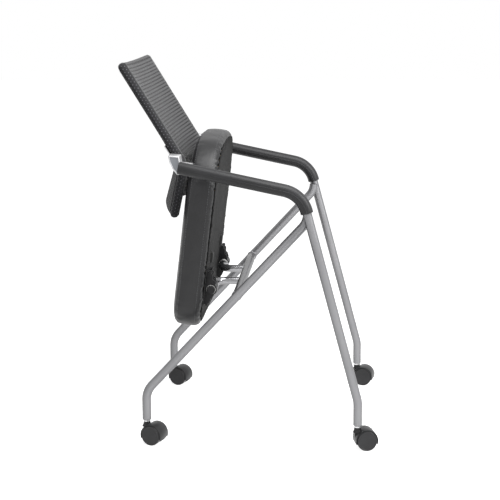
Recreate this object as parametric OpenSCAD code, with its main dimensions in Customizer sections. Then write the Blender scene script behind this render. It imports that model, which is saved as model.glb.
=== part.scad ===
// Nesting armchair: a bent-tube frame on four twin-wheel casters, a padded seat that
// flips up about a pivot behind its crossbar, and a knit-covered back fixed to the arms.
// X points forward, Y to the sitter's left and Z up; the floor is Z = 0.
// The seat is drawn flipped up, the way the chair is nested.

/* [Frame] */
// Outer diameter of the leg and arm tubes
tube_d = 22; // [19:0.5:26]
// Wall of every frame tube
tube_wall = 2; // [1.2:0.1:3]
// Distance between the centre lines of the two front legs
front_track = 588; // [560:1:660]
// Distance between the front and the rear caster stems
wheelbase = 524; // [500:1:550]
// Height of the arm's centre line at its rear end
arm_rear_h = 694; // [680:1:720]
// How far the arm's rear end lies behind the middle of the wheelbase
arm_rear_back = 172; // [150:1:190]
// Fall of the arm towards the front, in degrees
arm_fall = 11.9; // [8:0.1:14]
// Lean of the front leg from the vertical, in degrees
leg_lean = 15.05; // [13:0.05:17]
// Centre-line radius of the bend between arm and front leg
arm_bend_r = 70; // [55:1:85]
// Centre-line radius of the bend above the front foot
foot_bend_r = 60; // [40:1:80]
// Height where the front leg's line meets its vertical foot
foot_bend_h = 120; // [100:1:140]
// Climb of the rear leg from the horizontal, in degrees
rear_climb = 47; // [45:0.1:49]
// Centre-line radius of the bend above the rear foot
rear_bend_r = 55; // [40:1:70]
// Height where the rear leg's line meets its vertical foot
rear_bend_h = 133; // [120:1:150]
// Centre-line radius of the rear leg's bend under the arm
rear_top_r = 45; // [38:1:55]
// Gap that a weld seam fills between two tubes
weld_gap = 0.1; // [0.05:0.05:0.5]

/* [Arm pads] */
// Outer diameter of the moulded arm sleeve
sleeve_d = 31; // [28:0.5:36]
// How far the sleeve reaches down the leg past the arm's bend
sleeve_tail = 5; // [2:0.5:6]
// How far the sleeve stands out behind the tube's rear end
sleeve_lip = 4; // [2:0.5:8]
// Head diameter of the small screw that pins each sleeve
pin_head_d = 5; // [3:0.5:8]

/* [Seat support] */
// Distance from the crossbar back to the pivot line
pivot_back = 70; // [60:1:80]
// How far the crossbar lies behind the middle of the wheelbase
crossbar_back = 36; // [25:1:45]
// Diameter of the bent rod that carries the seat
arm_rod_d = 19; // [16:0.5:20]
// Distance between the centre lines of the two seat rods where they leave the crossbar
rod_spacing = 160; // [130:1:190]
// Centre-line radius of the seat rod's bend
rod_bend_r = 28; // [22:1:34]
// Distance between the outer ends of the two pivot stubs
pivot_span = 392; // [380:1:400]
// Turn of the seat from level to flipped up, in degrees
flip_rest = 83; // [80:1:85]
// Tilt left in the seat when it is down, in degrees
seat_tilt = 2; // [0:0.5:4]

/* [Seat] */
// Distance from the pivot to the front edge of the seat
seat_front = 375; // [350:1:395]
// Distance from the pivot to the rear edge of the seat
seat_rear = 100; // [90:1:110]
// Width of the cushion
seat_w = 474; // [450:1:490]
// Height of the underside's cover above the pivot line when the seat is down
under_h = 15; // [14.5:0.5:18]
// Height of the cushion's side, from its lower edge to the seam
side_h = 62; // [50:1:64]
// Rise of the sitting face above the seam
crown_h = 14; // [8:1:18]
// Corner radius at the front of the seat, seen from above
front_corner_r = 85; // [60:1:100]
// Corner radius at the rear of the seat, seen from above
rear_corner_r = 58; // [45:1:75]
// Thickness of the seat board
board_t = 12; // [9:1:15]
// Thickness of the cover under the board
cover_t = 1.5; // [1:0.1:2]

/* [Back] */
// Width of the back over its side bands
back_w = 456; // [430:1:470]
// Depth of the back at its side edge
back_t = 18; // [16:0.5:22]
// Width of the bevelled band at each side
band_w = 22; // [18:1:28]
// Lean of the upper back from the vertical, in degrees
upper_lean = 31.5; // [28:0.5:33]
// Lean of the lower back the other way, in degrees
lower_lean = 12; // [8:0.5:15]
// Length of the straight upper part
upper_len = 272; // [240:1:290]
// Length of the straight lower part
lower_len = 112; // [95:1:125]
// Radius of the bend at the waist of the back
waist_r = 60; // [50:1:80]
// Height of the foremost point of the waist
waist_h = 680; // [660:1:690]
// How far the waist lies behind the middle of the wheelbase
waist_back = 160; // [156:1:175]
// Hollow of the back from side to side at the bottom edge
low_sag = 38; // [28:1:44]
// Hollow of the back from side to side at the top edge
top_sag = 10; // [6:1:20]
// Diameter of the tube inside the back
rail_d = 10; // [8:0.5:10]

/* [Casters] */
// Turn of each front caster about its stem, inward, as the chair stands
front_swivel = 12; // [0:1:20]
// Turn of both rear casters about their stems, as the chair stands
rear_swivel = 20; // [0:1:30]
// Diameter of each caster wheel
wheel_d = 50; // [45:1:60]
// Width of one of the twin wheels
wheel_w = 17.5; // [14:0.5:22]
// Distance from the swivel axis to the axle
trail = 20; // [16:1:22]
// Diameter of the stem
stem_d = 11; // [9:0.5:12]
// Height of the stem's socket opening above the floor
socket_h = 61; // [59:1:68]
// Diameter of the wheel axle
axle_d = 6; // [5:0.5:8]

/* [Hidden] */
$fn = 48;

silver = "silver";
black = [0.13, 0.13, 0.14];
grey_black = [0.24, 0.24, 0.25];
knit_grey = [0.4, 0.4, 0.4];
leather = [0.2, 0.2, 0.21];
steel = [0.8, 0.8, 0.82];

// Every cut runs this far past the face it opens
over = 2;
// Clearance of a turning fit, of a pressed fit, and between a soft piece and a hard one
run_gap = 0.05;
press_gap = 0.01;
soft_gap = 0.3;

// Lines of the frame, in the plane of a leg: X forward and Z up
stem_x = wheelbase / 2;
rear_track = front_track - 2 * (tube_d + weld_gap);
arm_y = front_track / 2;
rear_y = rear_track / 2;
arm_start = [-arm_rear_back + sleeve_lip, arm_rear_h - sleeve_lip * tan(arm_fall)];
// Where the falling arm line meets the leaning leg line
knee_z = (arm_rear_h - tan(arm_fall) * (stem_x + foot_bend_h * tan(leg_lean) + arm_rear_back))
    / (1 - tan(arm_fall) * tan(leg_lean));
knee = [stem_x - (knee_z - foot_bend_h) * tan(leg_lean), knee_z];
front_foot = [stem_x, foot_bend_h];
// Where the rear leg's line, drawn on, meets the line of the front leg
crown_run = (stem_x * 2 - (rear_bend_h - foot_bend_h) * tan(leg_lean))
    / (cos(rear_climb) + sin(rear_climb) * tan(leg_lean));
rear_foot = [-stem_x, rear_bend_h];
rear_head = rear_foot + crown_run * [cos(rear_climb), sin(rear_climb)];
knee_turn = 90 - leg_lean - arm_fall;
knee_reach = arm_bend_r * tan(knee_turn / 2);
leg_dir = [sin(leg_lean), -cos(leg_lean)];
arm_dir = [cos(arm_fall), -sin(arm_fall)];
sleeve_end = knee + (knee_reach + sleeve_tail) * leg_dir;
// The rear leg is cut off level, just under the sleeve
rear_top_z = sleeve_end[1] - sleeve_d / 2 * sin(leg_lean) - over;
crossbar_pt = [-crossbar_back,
    rear_bend_h + (stem_x - crossbar_back) * tan(rear_climb)];
pivot_pt = crossbar_pt - [pivot_back, 0];

// The frame's middle lies midway between the stems; the part is moved along X so that
// its origin lies under the middle of its overall length.
hood_t = 2;
hood_gap = 0.8;
hood_w = 44;
hood_r = wheel_d / 2 + hood_gap + hood_t;
front_reach = stem_x + (trail + hood_r) * cos(front_swivel) + hood_w / 2 * sin(front_swivel);
back_skin = 2.5;
waist_pt = [-waist_back, waist_h];
waist_c = waist_pt - [waist_r, 0];
waist_len = waist_r * (upper_lean + lower_lean) * PI / 180;
back_len = lower_len + waist_len + upper_len;
function lean_at(t) =
    t < lower_len ? -lower_lean
    : t > lower_len + waist_len ? upper_lean
    : -lower_lean + (t - lower_len) / waist_len * (upper_lean + lower_lean);
// Front line of the back's side edge at the length t from its bottom
function edge_at(t) =
    let(b = lean_at(t), q = waist_c + waist_r * [cos(b), sin(b)])
    t < lower_len ? q - (lower_len - t) * [-sin(b), cos(b)]
    : t > lower_len + waist_len ? q + (t - lower_len - waist_len) * [-sin(b), cos(b)]
    : q;
// A point of the back: length up its edge, place across, and distance in front of the edge
function back_pt(t, y, n) =
    let(p = edge_at(t), b = lean_at(t)) [p[0] + n * cos(b), y, p[1] + n * sin(b)];
function side(s) = s == "left" ? 1 : -1;

module placed() {
    translate([shift_x, 0, 0]) children();
}

// Turns a drawing in the XY plane up into the XZ plane, centred on the given Y
module upright(y) {
    translate([0, y, 0]) rotate([90, 0, 0]) children();
}

function heading(a, b) = atan2(b[1] - a[1], b[0] - a[0]);
function turn_at(a, b, c) =
    let(d = heading(b, c) - heading(a, b)) d > 180 ? d - 360 : d < -180 ? d + 360 : d;

// A round bar along a path in the XY plane, bent to the radius given at each inner point.
// Each bend is swollen and lapped over the runs beside it by a hair, so that they fuse.
swell = 0.05;
lap = 0.2;

module bend(r, d, turn) {
    more = lap / r * 180 / PI;
    rotate([0, 0, -more]) rotate_extrude(angle = turn + 2 * more) translate([r, 0])
        circle(d = d + 2 * swell);
}

module bent_bar(path, radii, d, extend = 0) {
    n = len(path);
    reach = [for (i = [0:n - 1]) i == 0 || i == n - 1 ? -extend
        : radii[i - 1] * tan(abs(turn_at(path[i - 1], path[i], path[i + 1])) / 2)];
    for (i = [0:n - 2]) {
        a = heading(path[i], path[i + 1]);
        run = norm(path[i + 1] - path[i]) - reach[i] - reach[i + 1];
        translate([path[i][0] + reach[i] * cos(a), path[i][1] + reach[i] * sin(a), 0])
            rotate([0, 90, a]) cylinder(h = run, d = d);
    }
    for (i = [1:1:n - 2]) {
        a0 = heading(path[i - 1], path[i]);
        turn = turn_at(path[i - 1], path[i], path[i + 1]);
        way = turn > 0 ? 1 : -1;
        r = radii[i - 1];
        translate([path[i][0] - reach[i] * cos(a0) - way * r * sin(a0),
                path[i][1] - reach[i] * sin(a0) + way * r * cos(a0), 0])
            rotate([0, 0, turn > 0 ? a0 - 90 : a0 + turn + 90]) bend(r, d, abs(turn));
    }
}

module bent_tube(path, radii, d, wall) {
    difference() {
        bent_bar(path, radii, d);
        bent_bar(path, radii, d - 2 * wall, over);
    }
}

// Arm and front leg, one tube each side
front_path = [arm_start, knee, front_foot, [stem_x, socket_h]];
front_radii = [arm_bend_r, foot_bend_r];

module front_leg(s) {
    color(silver) upright(side(s) * arm_y) bent_tube(front_path, front_radii, tube_d, tube_wall);
}

// Rear leg: bends up beside the front leg, is welded to its inner side and closed at the top
rear_path = [rear_head + (rear_top_r + tube_d) * [-sin(leg_lean), cos(leg_lean)], rear_head,
    rear_foot, [-stem_x, socket_h]];
rear_radii = [rear_top_r, rear_bend_r];

module above(s, z) {
    translate([0, side(s) * rear_y - tube_d, z]) cube([stem_x, 2 * tube_d, arm_rear_h]);
}

module rear_leg(s) {
    color(silver) difference() {
        upright(side(s) * rear_y) bent_bar(rear_path, rear_radii, tube_d);
        difference() {
            upright(side(s) * rear_y) bent_bar(rear_path, rear_radii, tube_d - 2 * tube_wall, over);
            above(s, rear_top_z - tube_wall);
        }
        above(s, rear_top_z);
    }
}

// Crossbar between the rear legs, coped to their round sides
module crossbar() {
    color(silver) difference() {
        translate([crossbar_pt[0], 0, crossbar_pt[1]]) rotate([90, 0, 0])
            cylinder(h = rear_track, d = tube_d, center = true);
        translate([crossbar_pt[0], 0, crossbar_pt[1]]) rotate([90, 0, 0])
            cylinder(h = rear_track + over, d = tube_d - 2 * tube_wall, center = true);
        for (k = [-1, 1]) translate([crossbar_pt[0], k * rear_y, crossbar_pt[1]])
            rotate([0, 90 - rear_climb, 0])
                cylinder(h = 4 * tube_d, d = tube_d + 2 * weld_gap, center = true);
    }
}

// Bent rod that carries the seat: it leaves the crossbar, runs back and turns outward
// as the pivot stub
stop_pin_d = 5;
stop_pin_out = 4.6;
stub_end = pivot_span / 2;
bracket_w = 42;
bracket_out = 2;
stop_w = 7;
bracket_in = stub_end - bracket_out - bracket_w;
stop_y = bracket_in - stop_w / 2;

module seat_rod(s) {
    y0 = side(s) * rod_spacing / 2;
    color(silver) difference() {
        translate([0, 0, pivot_pt[1]])
            bent_bar([[crossbar_pt[0], y0], [pivot_pt[0], y0], [pivot_pt[0], side(s) * stub_end]],
                [rod_bend_r], arm_rod_d);
        translate([crossbar_pt[0], y0, crossbar_pt[1]]) rotate([90, 0, 0])
            cylinder(h = 2 * arm_rod_d, d = tube_d + 2 * weld_gap, center = true);
        translate([pivot_pt[0], side(s) * stop_y, pivot_pt[1]]) rotate([0, 90, 0])
            cylinder(h = arm_rod_d, d = stop_pin_d + 2 * press_gap);
        translate([pivot_pt[0], side(s) * (stub_end + over), pivot_pt[1]])
            rotate([side(s) * 90, 0, 0]) cylinder(h = cap_plug + over, d = cap_plug_d + 2 * run_gap);
    }
}

// Pins in the pivot stubs; the stop collar of the seat bracket turns from one side of the
// pin to the other
module stop_pins() {
    color(steel) for (k = [-1, 1]) translate([pivot_pt[0], k * stop_y, pivot_pt[1]])
        rotate([0, 90, 0])
            translate([0, 0, stop_pin_d / 2])
                cylinder(h = arm_rod_d / 2 + stop_pin_out - stop_pin_d / 2, d = stop_pin_d);
}

// Plastic cap plugged into the end of a pivot stub
cap_t = 4;
cap_rim = 1;
cap_plug = 8;
cap_plug_d = 9;

module pivot_cap(s) {
    color(black) translate([pivot_pt[0], side(s) * (stub_end + press_gap), pivot_pt[1]])
        rotate([-side(s) * 90, 0, 0]) {
            cylinder(h = cap_t - cap_rim, d = arm_rod_d + 2 * cap_rim);
            translate([0, 0, cap_t - cap_rim])
                cylinder(h = cap_rim, d1 = arm_rod_d + 2 * cap_rim, d2 = arm_rod_d);
            translate([0, 0, -cap_plug + over]) cylinder(h = cap_plug - over + cap_rim, d = cap_plug_d);
        }
}

// Moulded sleeve over the arm and its bend, with a hole for the back bracket's boss
sleeve_path = [[-arm_rear_back, arm_rear_h], knee, sleeve_end];
boss_d = 18;
boss_in = 17;
boss_pt = arm_start + boss_in * arm_dir;

module arm_sleeve(s) {
    color(grey_black) difference() {
        upright(side(s) * arm_y) difference() {
            bent_bar(sleeve_path, [arm_bend_r], sleeve_d);
            bent_bar(sleeve_path, [arm_bend_r], tube_d + 2 * run_gap, over);
        }
        translate([boss_pt[0], side(s) * arm_y, boss_pt[1]]) rotate([side(s) * 90, 0, 0])
            cylinder(h = sleeve_d, d = boss_d + 2 * soft_gap);
        translate([screw_pt[0], side(s) * arm_y, screw_pt[1]]) rotate([-side(s) * 90, 0, 0])
            cylinder(h = sleeve_d, d = pin_head_d + 2 * press_gap);
    }
}

// Plug in the rear end of each arm tube
plug_t = 3;
plug_in = 14;

module arm_end_plugs() {
    color(black) for (k = [-1, 1]) upright(k * arm_y) translate([arm_start[0], arm_start[1], 0])
        rotate([0, 90, -arm_fall]) {
            translate([0, 0, -plug_t]) cylinder(h = plug_t, d = tube_d);
            cylinder(h = plug_in, d = tube_d - 2 * tube_wall - 2 * press_gap);
        }
}

// Screws that pin the sleeves to the tubes, on the outer side near the rear end
screw_in = 12;
screw_pt = [-arm_rear_back, arm_rear_h] + (screw_in + sleeve_lip) * arm_dir;
head_sink = 1;

module arm_sleeve_screws() {
    color(steel) for (k = [-1, 1])
        translate([screw_pt[0], k * (arm_y + tube_d / 2 + run_gap), screw_pt[1]]) rotate([-k * 90, 0, 0])
            cylinder(h = (sleeve_d - tube_d) / 2 - head_sink, d = pin_head_d);
}

// Tube loop inside the back: two side rails bent at the waist, a top and a bottom rail
rail_in = 12;
rail_y = back_w / 2 - rail_in;
rail_sink = 1;
rail_n = -back_t / 2 - rail_sink;
rail_end = 12;
rail_lo = back_pt(rail_end, rail_y, rail_n);
rail_hi = back_pt(back_len - rail_end, rail_y, rail_n);
// Hollow of the front face at the length t, from 1 at the waist's side edge
function sag_at(t) = low_sag + (top_sag - low_sag) * t / back_len;
face_half = back_w / 2 - band_w;
function hollow(t, y) = -sag_at(t) * (1 - pow(min(abs(y) / face_half, 1), 2));

module side_rail(k) {
    c = [waist_c[0], k * rail_y, waist_c[1]];
    lo = edge_at(lower_len) + rail_n * [cos(lower_lean), -sin(lower_lean)];
    hi = edge_at(lower_len + waist_len) + rail_n * [cos(upper_lean), sin(upper_lean)];
    translate([rail_lo[0], k * rail_y, rail_lo[2]]) rotate([0, lower_lean, 0])
        cylinder(h = lower_len - rail_end, d = rail_d);
    translate([hi[0], k * rail_y, hi[1]]) rotate([0, -upper_lean, 0])
        cylinder(h = upper_len - rail_end, d = rail_d);
    translate(c) rotate([90, 0, 0]) rotate([0, 0, -lower_lean])
        bend(waist_r + rail_n, rail_d, upper_lean + lower_lean);
}

// A rail across the back, bowed to follow its hollow
cross_d = 7.5;
knuckle_d = 10.4;
knuckle_in = 6;
knuckle_out = 1;
skin_gap = 0.5;
long_arc_steps = 200;

module cross_rail(t) {
    sag = -hollow(t, 0) + back_skin + skin_gap + cross_d / 2 + rail_n;
    r = (rail_y * rail_y + sag * sag) / (2 * sag);
    half = asin(rail_y / r);
    translate(back_pt(t, 0, rail_n + r - sag)) rotate([0, -lean_at(t), 0])
        rotate([0, 0, 180 - half]) bend(r, cross_d, 2 * half, $fn = long_arc_steps);
}

// Bosses on the side rails take the bracket's screws; they pass out through the side bands
hole_up = [36, 53];
hole_pts = [for (t = hole_up) back_pt(lower_len + t, 0, rail_n)];
stud_d = 9;
stud_out = 0.2;
stud_hole = 2.5;

module studs(k, d, y0, y1) {
    for (p = hole_pts) translate([p[0], k * y0, p[2]]) rotate([-k * 90, 0, 0])
        cylinder(h = y1 - y0, d = d);
}

module back_frame() {
    color(silver) difference() {
        union() {
            for (k = [-1, 1]) {
                side_rail(k);
                for (p = [rail_lo, rail_hi]) translate([p[0], k * (rail_y - knuckle_in), p[2]])
                    rotate([-k * 90, 0, 0]) cylinder(h = knuckle_in + knuckle_out, d = knuckle_d);
                studs(k, stud_d, rail_y, back_w / 2 + stud_out);
            }
            cross_rail(rail_end);
            cross_rail(back_len - rail_end);
        }
        for (k = [-1, 1]) studs(k, bracket_screw_d + 2 * press_gap, rail_y + stud_hole, back_w / 2 + over);
    }
}

// A thin skin between two grids of points of equal size: F on the outside and B inside
function flat(m) = [for (row = m) for (p = row) p];
module skin(F, B, flip = false) {
    ni = len(F);
    nj = len(F[0]);
    o = ni * nj;
    quad = function(a, b, c, d) flip ? [[a, c, b], [a, d, c]] : [[a, b, c], [a, c, d]];
    cells = [for (i = [0:ni - 2]) for (j = [0:nj - 2])
        let(a = i * nj + j, b = a + 1, c = a + nj + 1, d = a + nj) each concat(
            quad(a, b, c, d), quad(o + a, o + d, o + c, o + b))];
    ends = [for (j = [0:nj - 2]) let(a = j, b = j + 1, c = (ni - 1) * nj + j, d = c + 1)
        each concat(quad(a, o + a, o + b, b), quad(c, d, o + d, o + c))];
    sides = [for (i = [0:ni - 2]) let(a = i * nj, b = a + nj, c = a + nj - 1, d = c + nj)
        each concat(quad(a, b, o + b, o + a), quad(c, o + c, o + d, d))];
    polyhedron(points = concat(flat(F), flat(B)), faces = concat(cells, ends, sides));
}

knit_rows = 24;
knit_cols = 14;
edge_turn = 13;
// Lengths up the back, closer together round the waist
function rows(t0, t1, n) = [for (i = [0:n]) t0 + (t1 - t0) * i / n];

// Ribbed knit stretched over the front, hollow from side to side
module back_front_knit() {
    ts = rows(edge_turn + soft_gap, back_len - edge_turn - soft_gap, knit_rows);
    ys = rows(-face_half + soft_gap, face_half - soft_gap, knit_cols);
    color(knit_grey) skin(
        [for (t = ts) [for (y = ys) back_pt(t, y, hollow(t, y))]],
        [for (t = ts) [for (y = ys) back_pt(t, y, hollow(t, y) - back_skin)]]);
}

// Depth of the rear cover behind the front face: full at the sides, thin in the middle
mid_depth = 14;
function rear_n(t, y) =
    let(q = pow(min(abs(y) / face_half, 1), 2))
    hollow(t, y) - mid_depth - (back_t - mid_depth) * q;

// Plain knit over the rear of the back
module back_rear_cover() {
    ts = rows(edge_turn + soft_gap, back_len - edge_turn - soft_gap, knit_rows);
    ys = rows(-face_half + soft_gap, face_half - soft_gap, knit_cols);
    color(black) skin(
        [for (t = ts) [for (y = ys) back_pt(t, y, rear_n(t, y))]],
        [for (t = ts) [for (y = ys) back_pt(t, y, rear_n(t, y) - back_skin)]]);
}

// Spacer-knit band that wraps each side edge. Each point is a share of the band's width
// outward and a share of the back's depth behind the front line.
band_shares = [[0, 0], [0.34, 0.05], [0.7, 0.2], [0.93, 0.42], [1, 0.62], [0.93, 0.82],
    [0.7, 0.95], [0.36, 1.02], [0, 1]];
// The band's ends close in to a round over the last stretch, by these shares of its length
round_shares = [[0, 0.3], [0.12, 0.62], [0.35, 0.86], [0.65, 0.97], [1, 1]];
band_mid_share = 0.5;
band_skin = 2;

function band_ring(k, t, grow, inset) = [for (q = band_shares)
    let(y = face_half + band_w * (q[0] * grow) - inset * q[0],
        n = -(back_t + back_skin) * (band_mid_share + (q[1] - band_mid_share) * grow)
            + inset * (1 - 2 * q[1]) * -1)
    back_pt(t, k * y, n)];
function band_rows() = concat(
    [for (q = round_shares) [q[0] * edge_turn, q[1]]],
    [for (i = [1:knit_rows - 1]) [edge_turn + (back_len - 2 * edge_turn) * i / knit_rows, 1]],
    [for (i = [0:len(round_shares) - 1]) let(q = round_shares[len(round_shares) - 1 - i])
        [back_len - q[0] * edge_turn, q[1]]]);

module back_band(s) {
    k = side(s);
    color(black) difference() {
        skin([for (r = band_rows()) band_ring(k, r[0], r[1], 0)],
            [for (r = band_rows()) band_ring(k, r[0], r[1], band_skin)], s == "left");
        studs(k, stud_d + 2 * soft_gap, rail_y, back_w / 2 + over);
    }
}

// Bands that close the top and bottom edges. Each point is a share of the turned depth
// past the cover's edge and a share of the back's depth behind the front face.
turn_shares = [[0, 0], [0.5, 0.06], [0.86, 0.26], [1, 0.5], [0.86, 0.76], [0.5, 0.96], [0, 1]];
function turn_ring(t0, way, y, inset) = [for (q = turn_shares)
    let(t = t0 + way * (edge_turn * q[0] - inset * q[0]),
        f = hollow(t0, y), r = rear_n(t0, y) - back_skin)
    back_pt(t, y, f + (r - f) * q[1] - inset * (1 - 2 * q[1]))];

// How far the frame reaches behind its middle, and the shift that centres its length
back_reach = max([for (p = turn_ring(back_len - edge_turn, 1, 0, 0)) -p[0]]);
shift_x = (back_reach - front_reach) / 2;

module edge_band(t0, way) {
    ys = rows(-face_half + soft_gap, face_half - soft_gap, knit_cols);
    skin([for (y = ys) turn_ring(t0, way, y, 0)],
        [for (y = ys) turn_ring(t0, way, y, back_skin)], way < 0);
}

module back_top_band() {
    color(knit_grey) edge_band(back_len - edge_turn, 1);
}

module back_bottom_band() {
    color(black) edge_band(edge_turn, -1);
}

// Cast bracket from the arm's rear end to the side of the back: a flange against the back,
// a three-cornered web that shows behind the sleeve, walls between them, and a boss
// that meets the arm tube
bracket_t = 4;
bracket_lo_y = back_w / 2 + soft_gap;
bracket_hi_y = arm_y - sleeve_d / 2 - soft_gap;
tip_up = 44;
tip_back = 31;
toe_back = 16;
toe_down = 12;
heel_up = 20;
web_pts = [
    boss_pt + [-toe_back - tip_back + bracket_t, tip_up],
    boss_pt + [-toe_back, heel_up],
    boss_pt + [0, boss_d / 2],
    boss_pt + [0, -boss_d / 2],
    boss_pt + [-tip_back, -toe_down]
];

wall_t = 2.6;
wall_drop = [-0.45, -1];

module back_bracket(s) {
    k = side(s);
    wide = bracket_hi_y - bracket_lo_y;
    color(steel) difference() {
        union() {
            across(k, bracket_lo_y, bracket_t) polygon(web_pts);
            across(k, bracket_hi_y - bracket_t, bracket_t) polygon(web_pts);
            across(k, bracket_lo_y, wide) difference() {
                polygon(web_pts);
                translate(wall_t * wall_drop) polygon(web_pts);
            }
            across(k, bracket_hi_y - bracket_t, arm_y - bracket_hi_y + bracket_t)
                translate(boss_pt) circle(d = boss_d);
        }
        upright(k * arm_y) bent_bar(front_path, front_radii, tube_d + 2 * weld_gap);
        studs(k, bracket_screw_d + 2 * press_gap, bracket_lo_y - over, bracket_lo_y + bracket_t + over);
    }
}

// Draws a shape of the XZ plane as a plate of the given thickness, outward from y0
module across(k, y0, t) {
    translate([0, k > 0 ? y0 + t : -y0, 0]) rotate([90, 0, 0]) linear_extrude(t) children();
}

// Screws through the bracket's flange into the bosses of the back's frame
bracket_screw_d = 4;
bracket_screw_len = 9;
bracket_head_d = 7;
bracket_head_t = 2.5;

module back_bracket_screws() {
    color(steel) for (k = [-1, 1]) {
        studs(k, bracket_screw_d, bracket_lo_y + bracket_t - bracket_screw_len, bracket_lo_y + bracket_t);
        studs(k, bracket_head_d, bracket_lo_y + bracket_t, bracket_lo_y + bracket_t + bracket_head_t);
    }
}

// Plastic socket pressed into the end of each leg tube; the caster's stem turns in it
socket_len = 38;

module stem_socket(x, k, track) {
    color(black) translate([x, k * track / 2, socket_h]) difference() {
        cylinder(h = socket_len, d = tube_d - 2 * tube_wall - 2 * press_gap);
        translate([0, 0, -over]) cylinder(h = socket_len + 2 * over, d = stem_d + 2 * run_gap);
    }
}

// Seat pieces are drawn level, with the pivot line as their origin, and flipped up into place
module seat_place() {
    translate([pivot_pt[0], 0, pivot_pt[1]]) rotate([0, -flip_rest, 0]) children();
}

base_h = under_h + cover_t;
seam_z = base_h + side_h;
corner_steps = 6;
side_steps = 6;
side_draw = 3;
edge_draw = 3;
// Corner arc: centre from the outline's corner, starting angle in degrees
function corner(cx, cy, r, a0) = [for (i = [0:corner_steps])
    let(a = a0 + 90 * i / corner_steps) [cx + r * cos(a), cy + r * sin(a)]];
// Points between two corners, drawn inward by the depth d along the direction v
function drawn(a, b, v, d) = [for (i = [1:side_steps - 1])
    let(q = i / side_steps) a + (b - a) * q + v * d * sin(180 * q)];
// Outline of the seat, seen from above, moved inward by the inset
least_r = 4;
function seat_outline(inset) =
    let(f = max(front_corner_r - inset, least_r), r = max(rear_corner_r - inset, least_r),
        x1 = seat_front - inset - f, x0 = -seat_rear + inset + r,
        yf = seat_w / 2 - inset - f, yr = seat_w / 2 - inset - r,
        c1 = corner(x1, yf, f, 0), c2 = corner(x0, yr, r, 90),
        c3 = corner(x0, -yr, r, 180), c4 = corner(x1, -yf, f, 270), n = corner_steps)
    concat(c1, drawn(c1[n], c2[0], [0, -1], side_draw),
        c2, drawn(c2[n], c3[0], [1, 0], edge_draw),
        c3, drawn(c3[n], c4[0], [0, 1], side_draw),
        c4, drawn(c4[n], c1[0], [1, 0], edge_draw));

// A closed solid through rings of points, each ring closed by a fan to its middle
module ring_solid(rings) {
    n = len(rings[0]);
    m = len(rings);
    low = [for (k = [0:2]) [for (p = rings[0]) p[k]] * [for (p = rings[0]) 1] / n];
    top = [for (k = [0:2]) [for (p = rings[m - 1]) p[k]] * [for (p = rings[m - 1]) 1] / n];
    walls = [for (i = [0:m - 2]) for (j = [0:n - 1])
        let(a = i * n + j, b = i * n + (j + 1) % n, c = b + n, d = a + n) each [[a, c, b], [a, d, c]]];
    ends = [for (j = [0:n - 1]) let(k = (j + 1) % n) each
        [[m * n, j, k], [m * n + 1, (m - 1) * n + k, (m - 1) * n + j]]];
    polyhedron(points = concat(flat(rings), [low, top]), faces = concat(walls, ends));
}

// Profile of the cushion: the rounded lower edge, the side, the groove of the seam and the
// crowned face; each ring is an inset of the outline and a height
low_edge_r = 10;
seam_in = 2;
seam_h = 2;
shoulder = 8;
crown_reach = 180;
crown_power = 4;
low_shares = [0, 0.34, 0.7, 1];
crown_shares = [0.025, 0.06, 0.12, 0.22, 0.38, 0.62, 1];
bulge = 2;
cushion_rings = concat(
    [for (q = low_shares) [low_edge_r * (1 - sin(90 * q)), base_h + low_edge_r * (1 - cos(90 * q))]],
    [[-bulge, base_h + side_h / 2], [-bulge / 2, seam_z - shoulder], [0, seam_z - seam_h],
        [seam_in, seam_z], [seam_in, seam_z + seam_h / 2]],
    [for (q = crown_shares) [seam_in + crown_reach * q,
        seam_z + seam_h / 2 + (crown_h - seam_h / 2) * (1 - pow(1 - q, crown_power))]]);

// Foam and leather cushion; its cover wraps round the board's edge
module seat_cushion() {
    color(leather) seat_place() difference() {
        ring_solid([for (r = cushion_rings) [for (p = seat_outline(r[0])) [p[0], p[1], r[1]]]]);
        translate([0, 0, base_h - over]) linear_extrude(board_t + soft_gap + over)
            polygon(seat_outline(board_in - soft_gap));
    }
}

// Plywood board inside the cushion
board_in = 20;

module seat_board() {
    color("burlywood") seat_place() translate([0, 0, base_h])
        linear_extrude(board_t) polygon(seat_outline(board_in));
}

// Black cover stapled over the board and the edge of the leather
cover_in = 16;

module seat_under_cover() {
    color(black) seat_place() translate([0, 0, under_h])
        linear_extrude(cover_t - press_gap) polygon(seat_outline(cover_in));
}

// Moulded bracket under the seat: a flange, ribs, a bored boss for the pivot bush, and a
// stop collar at its inner end
flange_t = 5;
flange_front = 48;
flange_back = 42;
bush_t = 2;
boss_wall = 2.8;
boss_r = arm_rod_d / 2 + run_gap + bush_t + boss_wall;
rib_t = 4;
rib_count = 3;
collar_t = 5;
stop_gap = 0.15;
bracket_mid = bracket_in + bracket_w / 2;
bracket_screw_x = 8;
bracket_screw_y = 9;
seat_screw_d = 5;
seat_head_d = 9;
seat_head_t = 3;
// Side view of a rib: shares of the flange's reach along, and of the boss radius down
rib_shares = [[1, 0.3], [0.86, 0.28], [0.8, 0.05], [0.55, -0.05], [0.5, -0.34], [0.3, -0.62]];

function rib_side(reach, way) = [for (q = rib_shares) [way * q[0] * reach, q[1] * boss_r]];
function reversed(v) = [for (i = [len(v) - 1:-1:0]) v[i]];
rib_pts = concat([[flange_front, under_h - flange_t]], rib_side(flange_front, 1),
    reversed(rib_side(flange_back, -1)), [[-flange_back, under_h - flange_t]]);
flange_r = 6;

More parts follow.
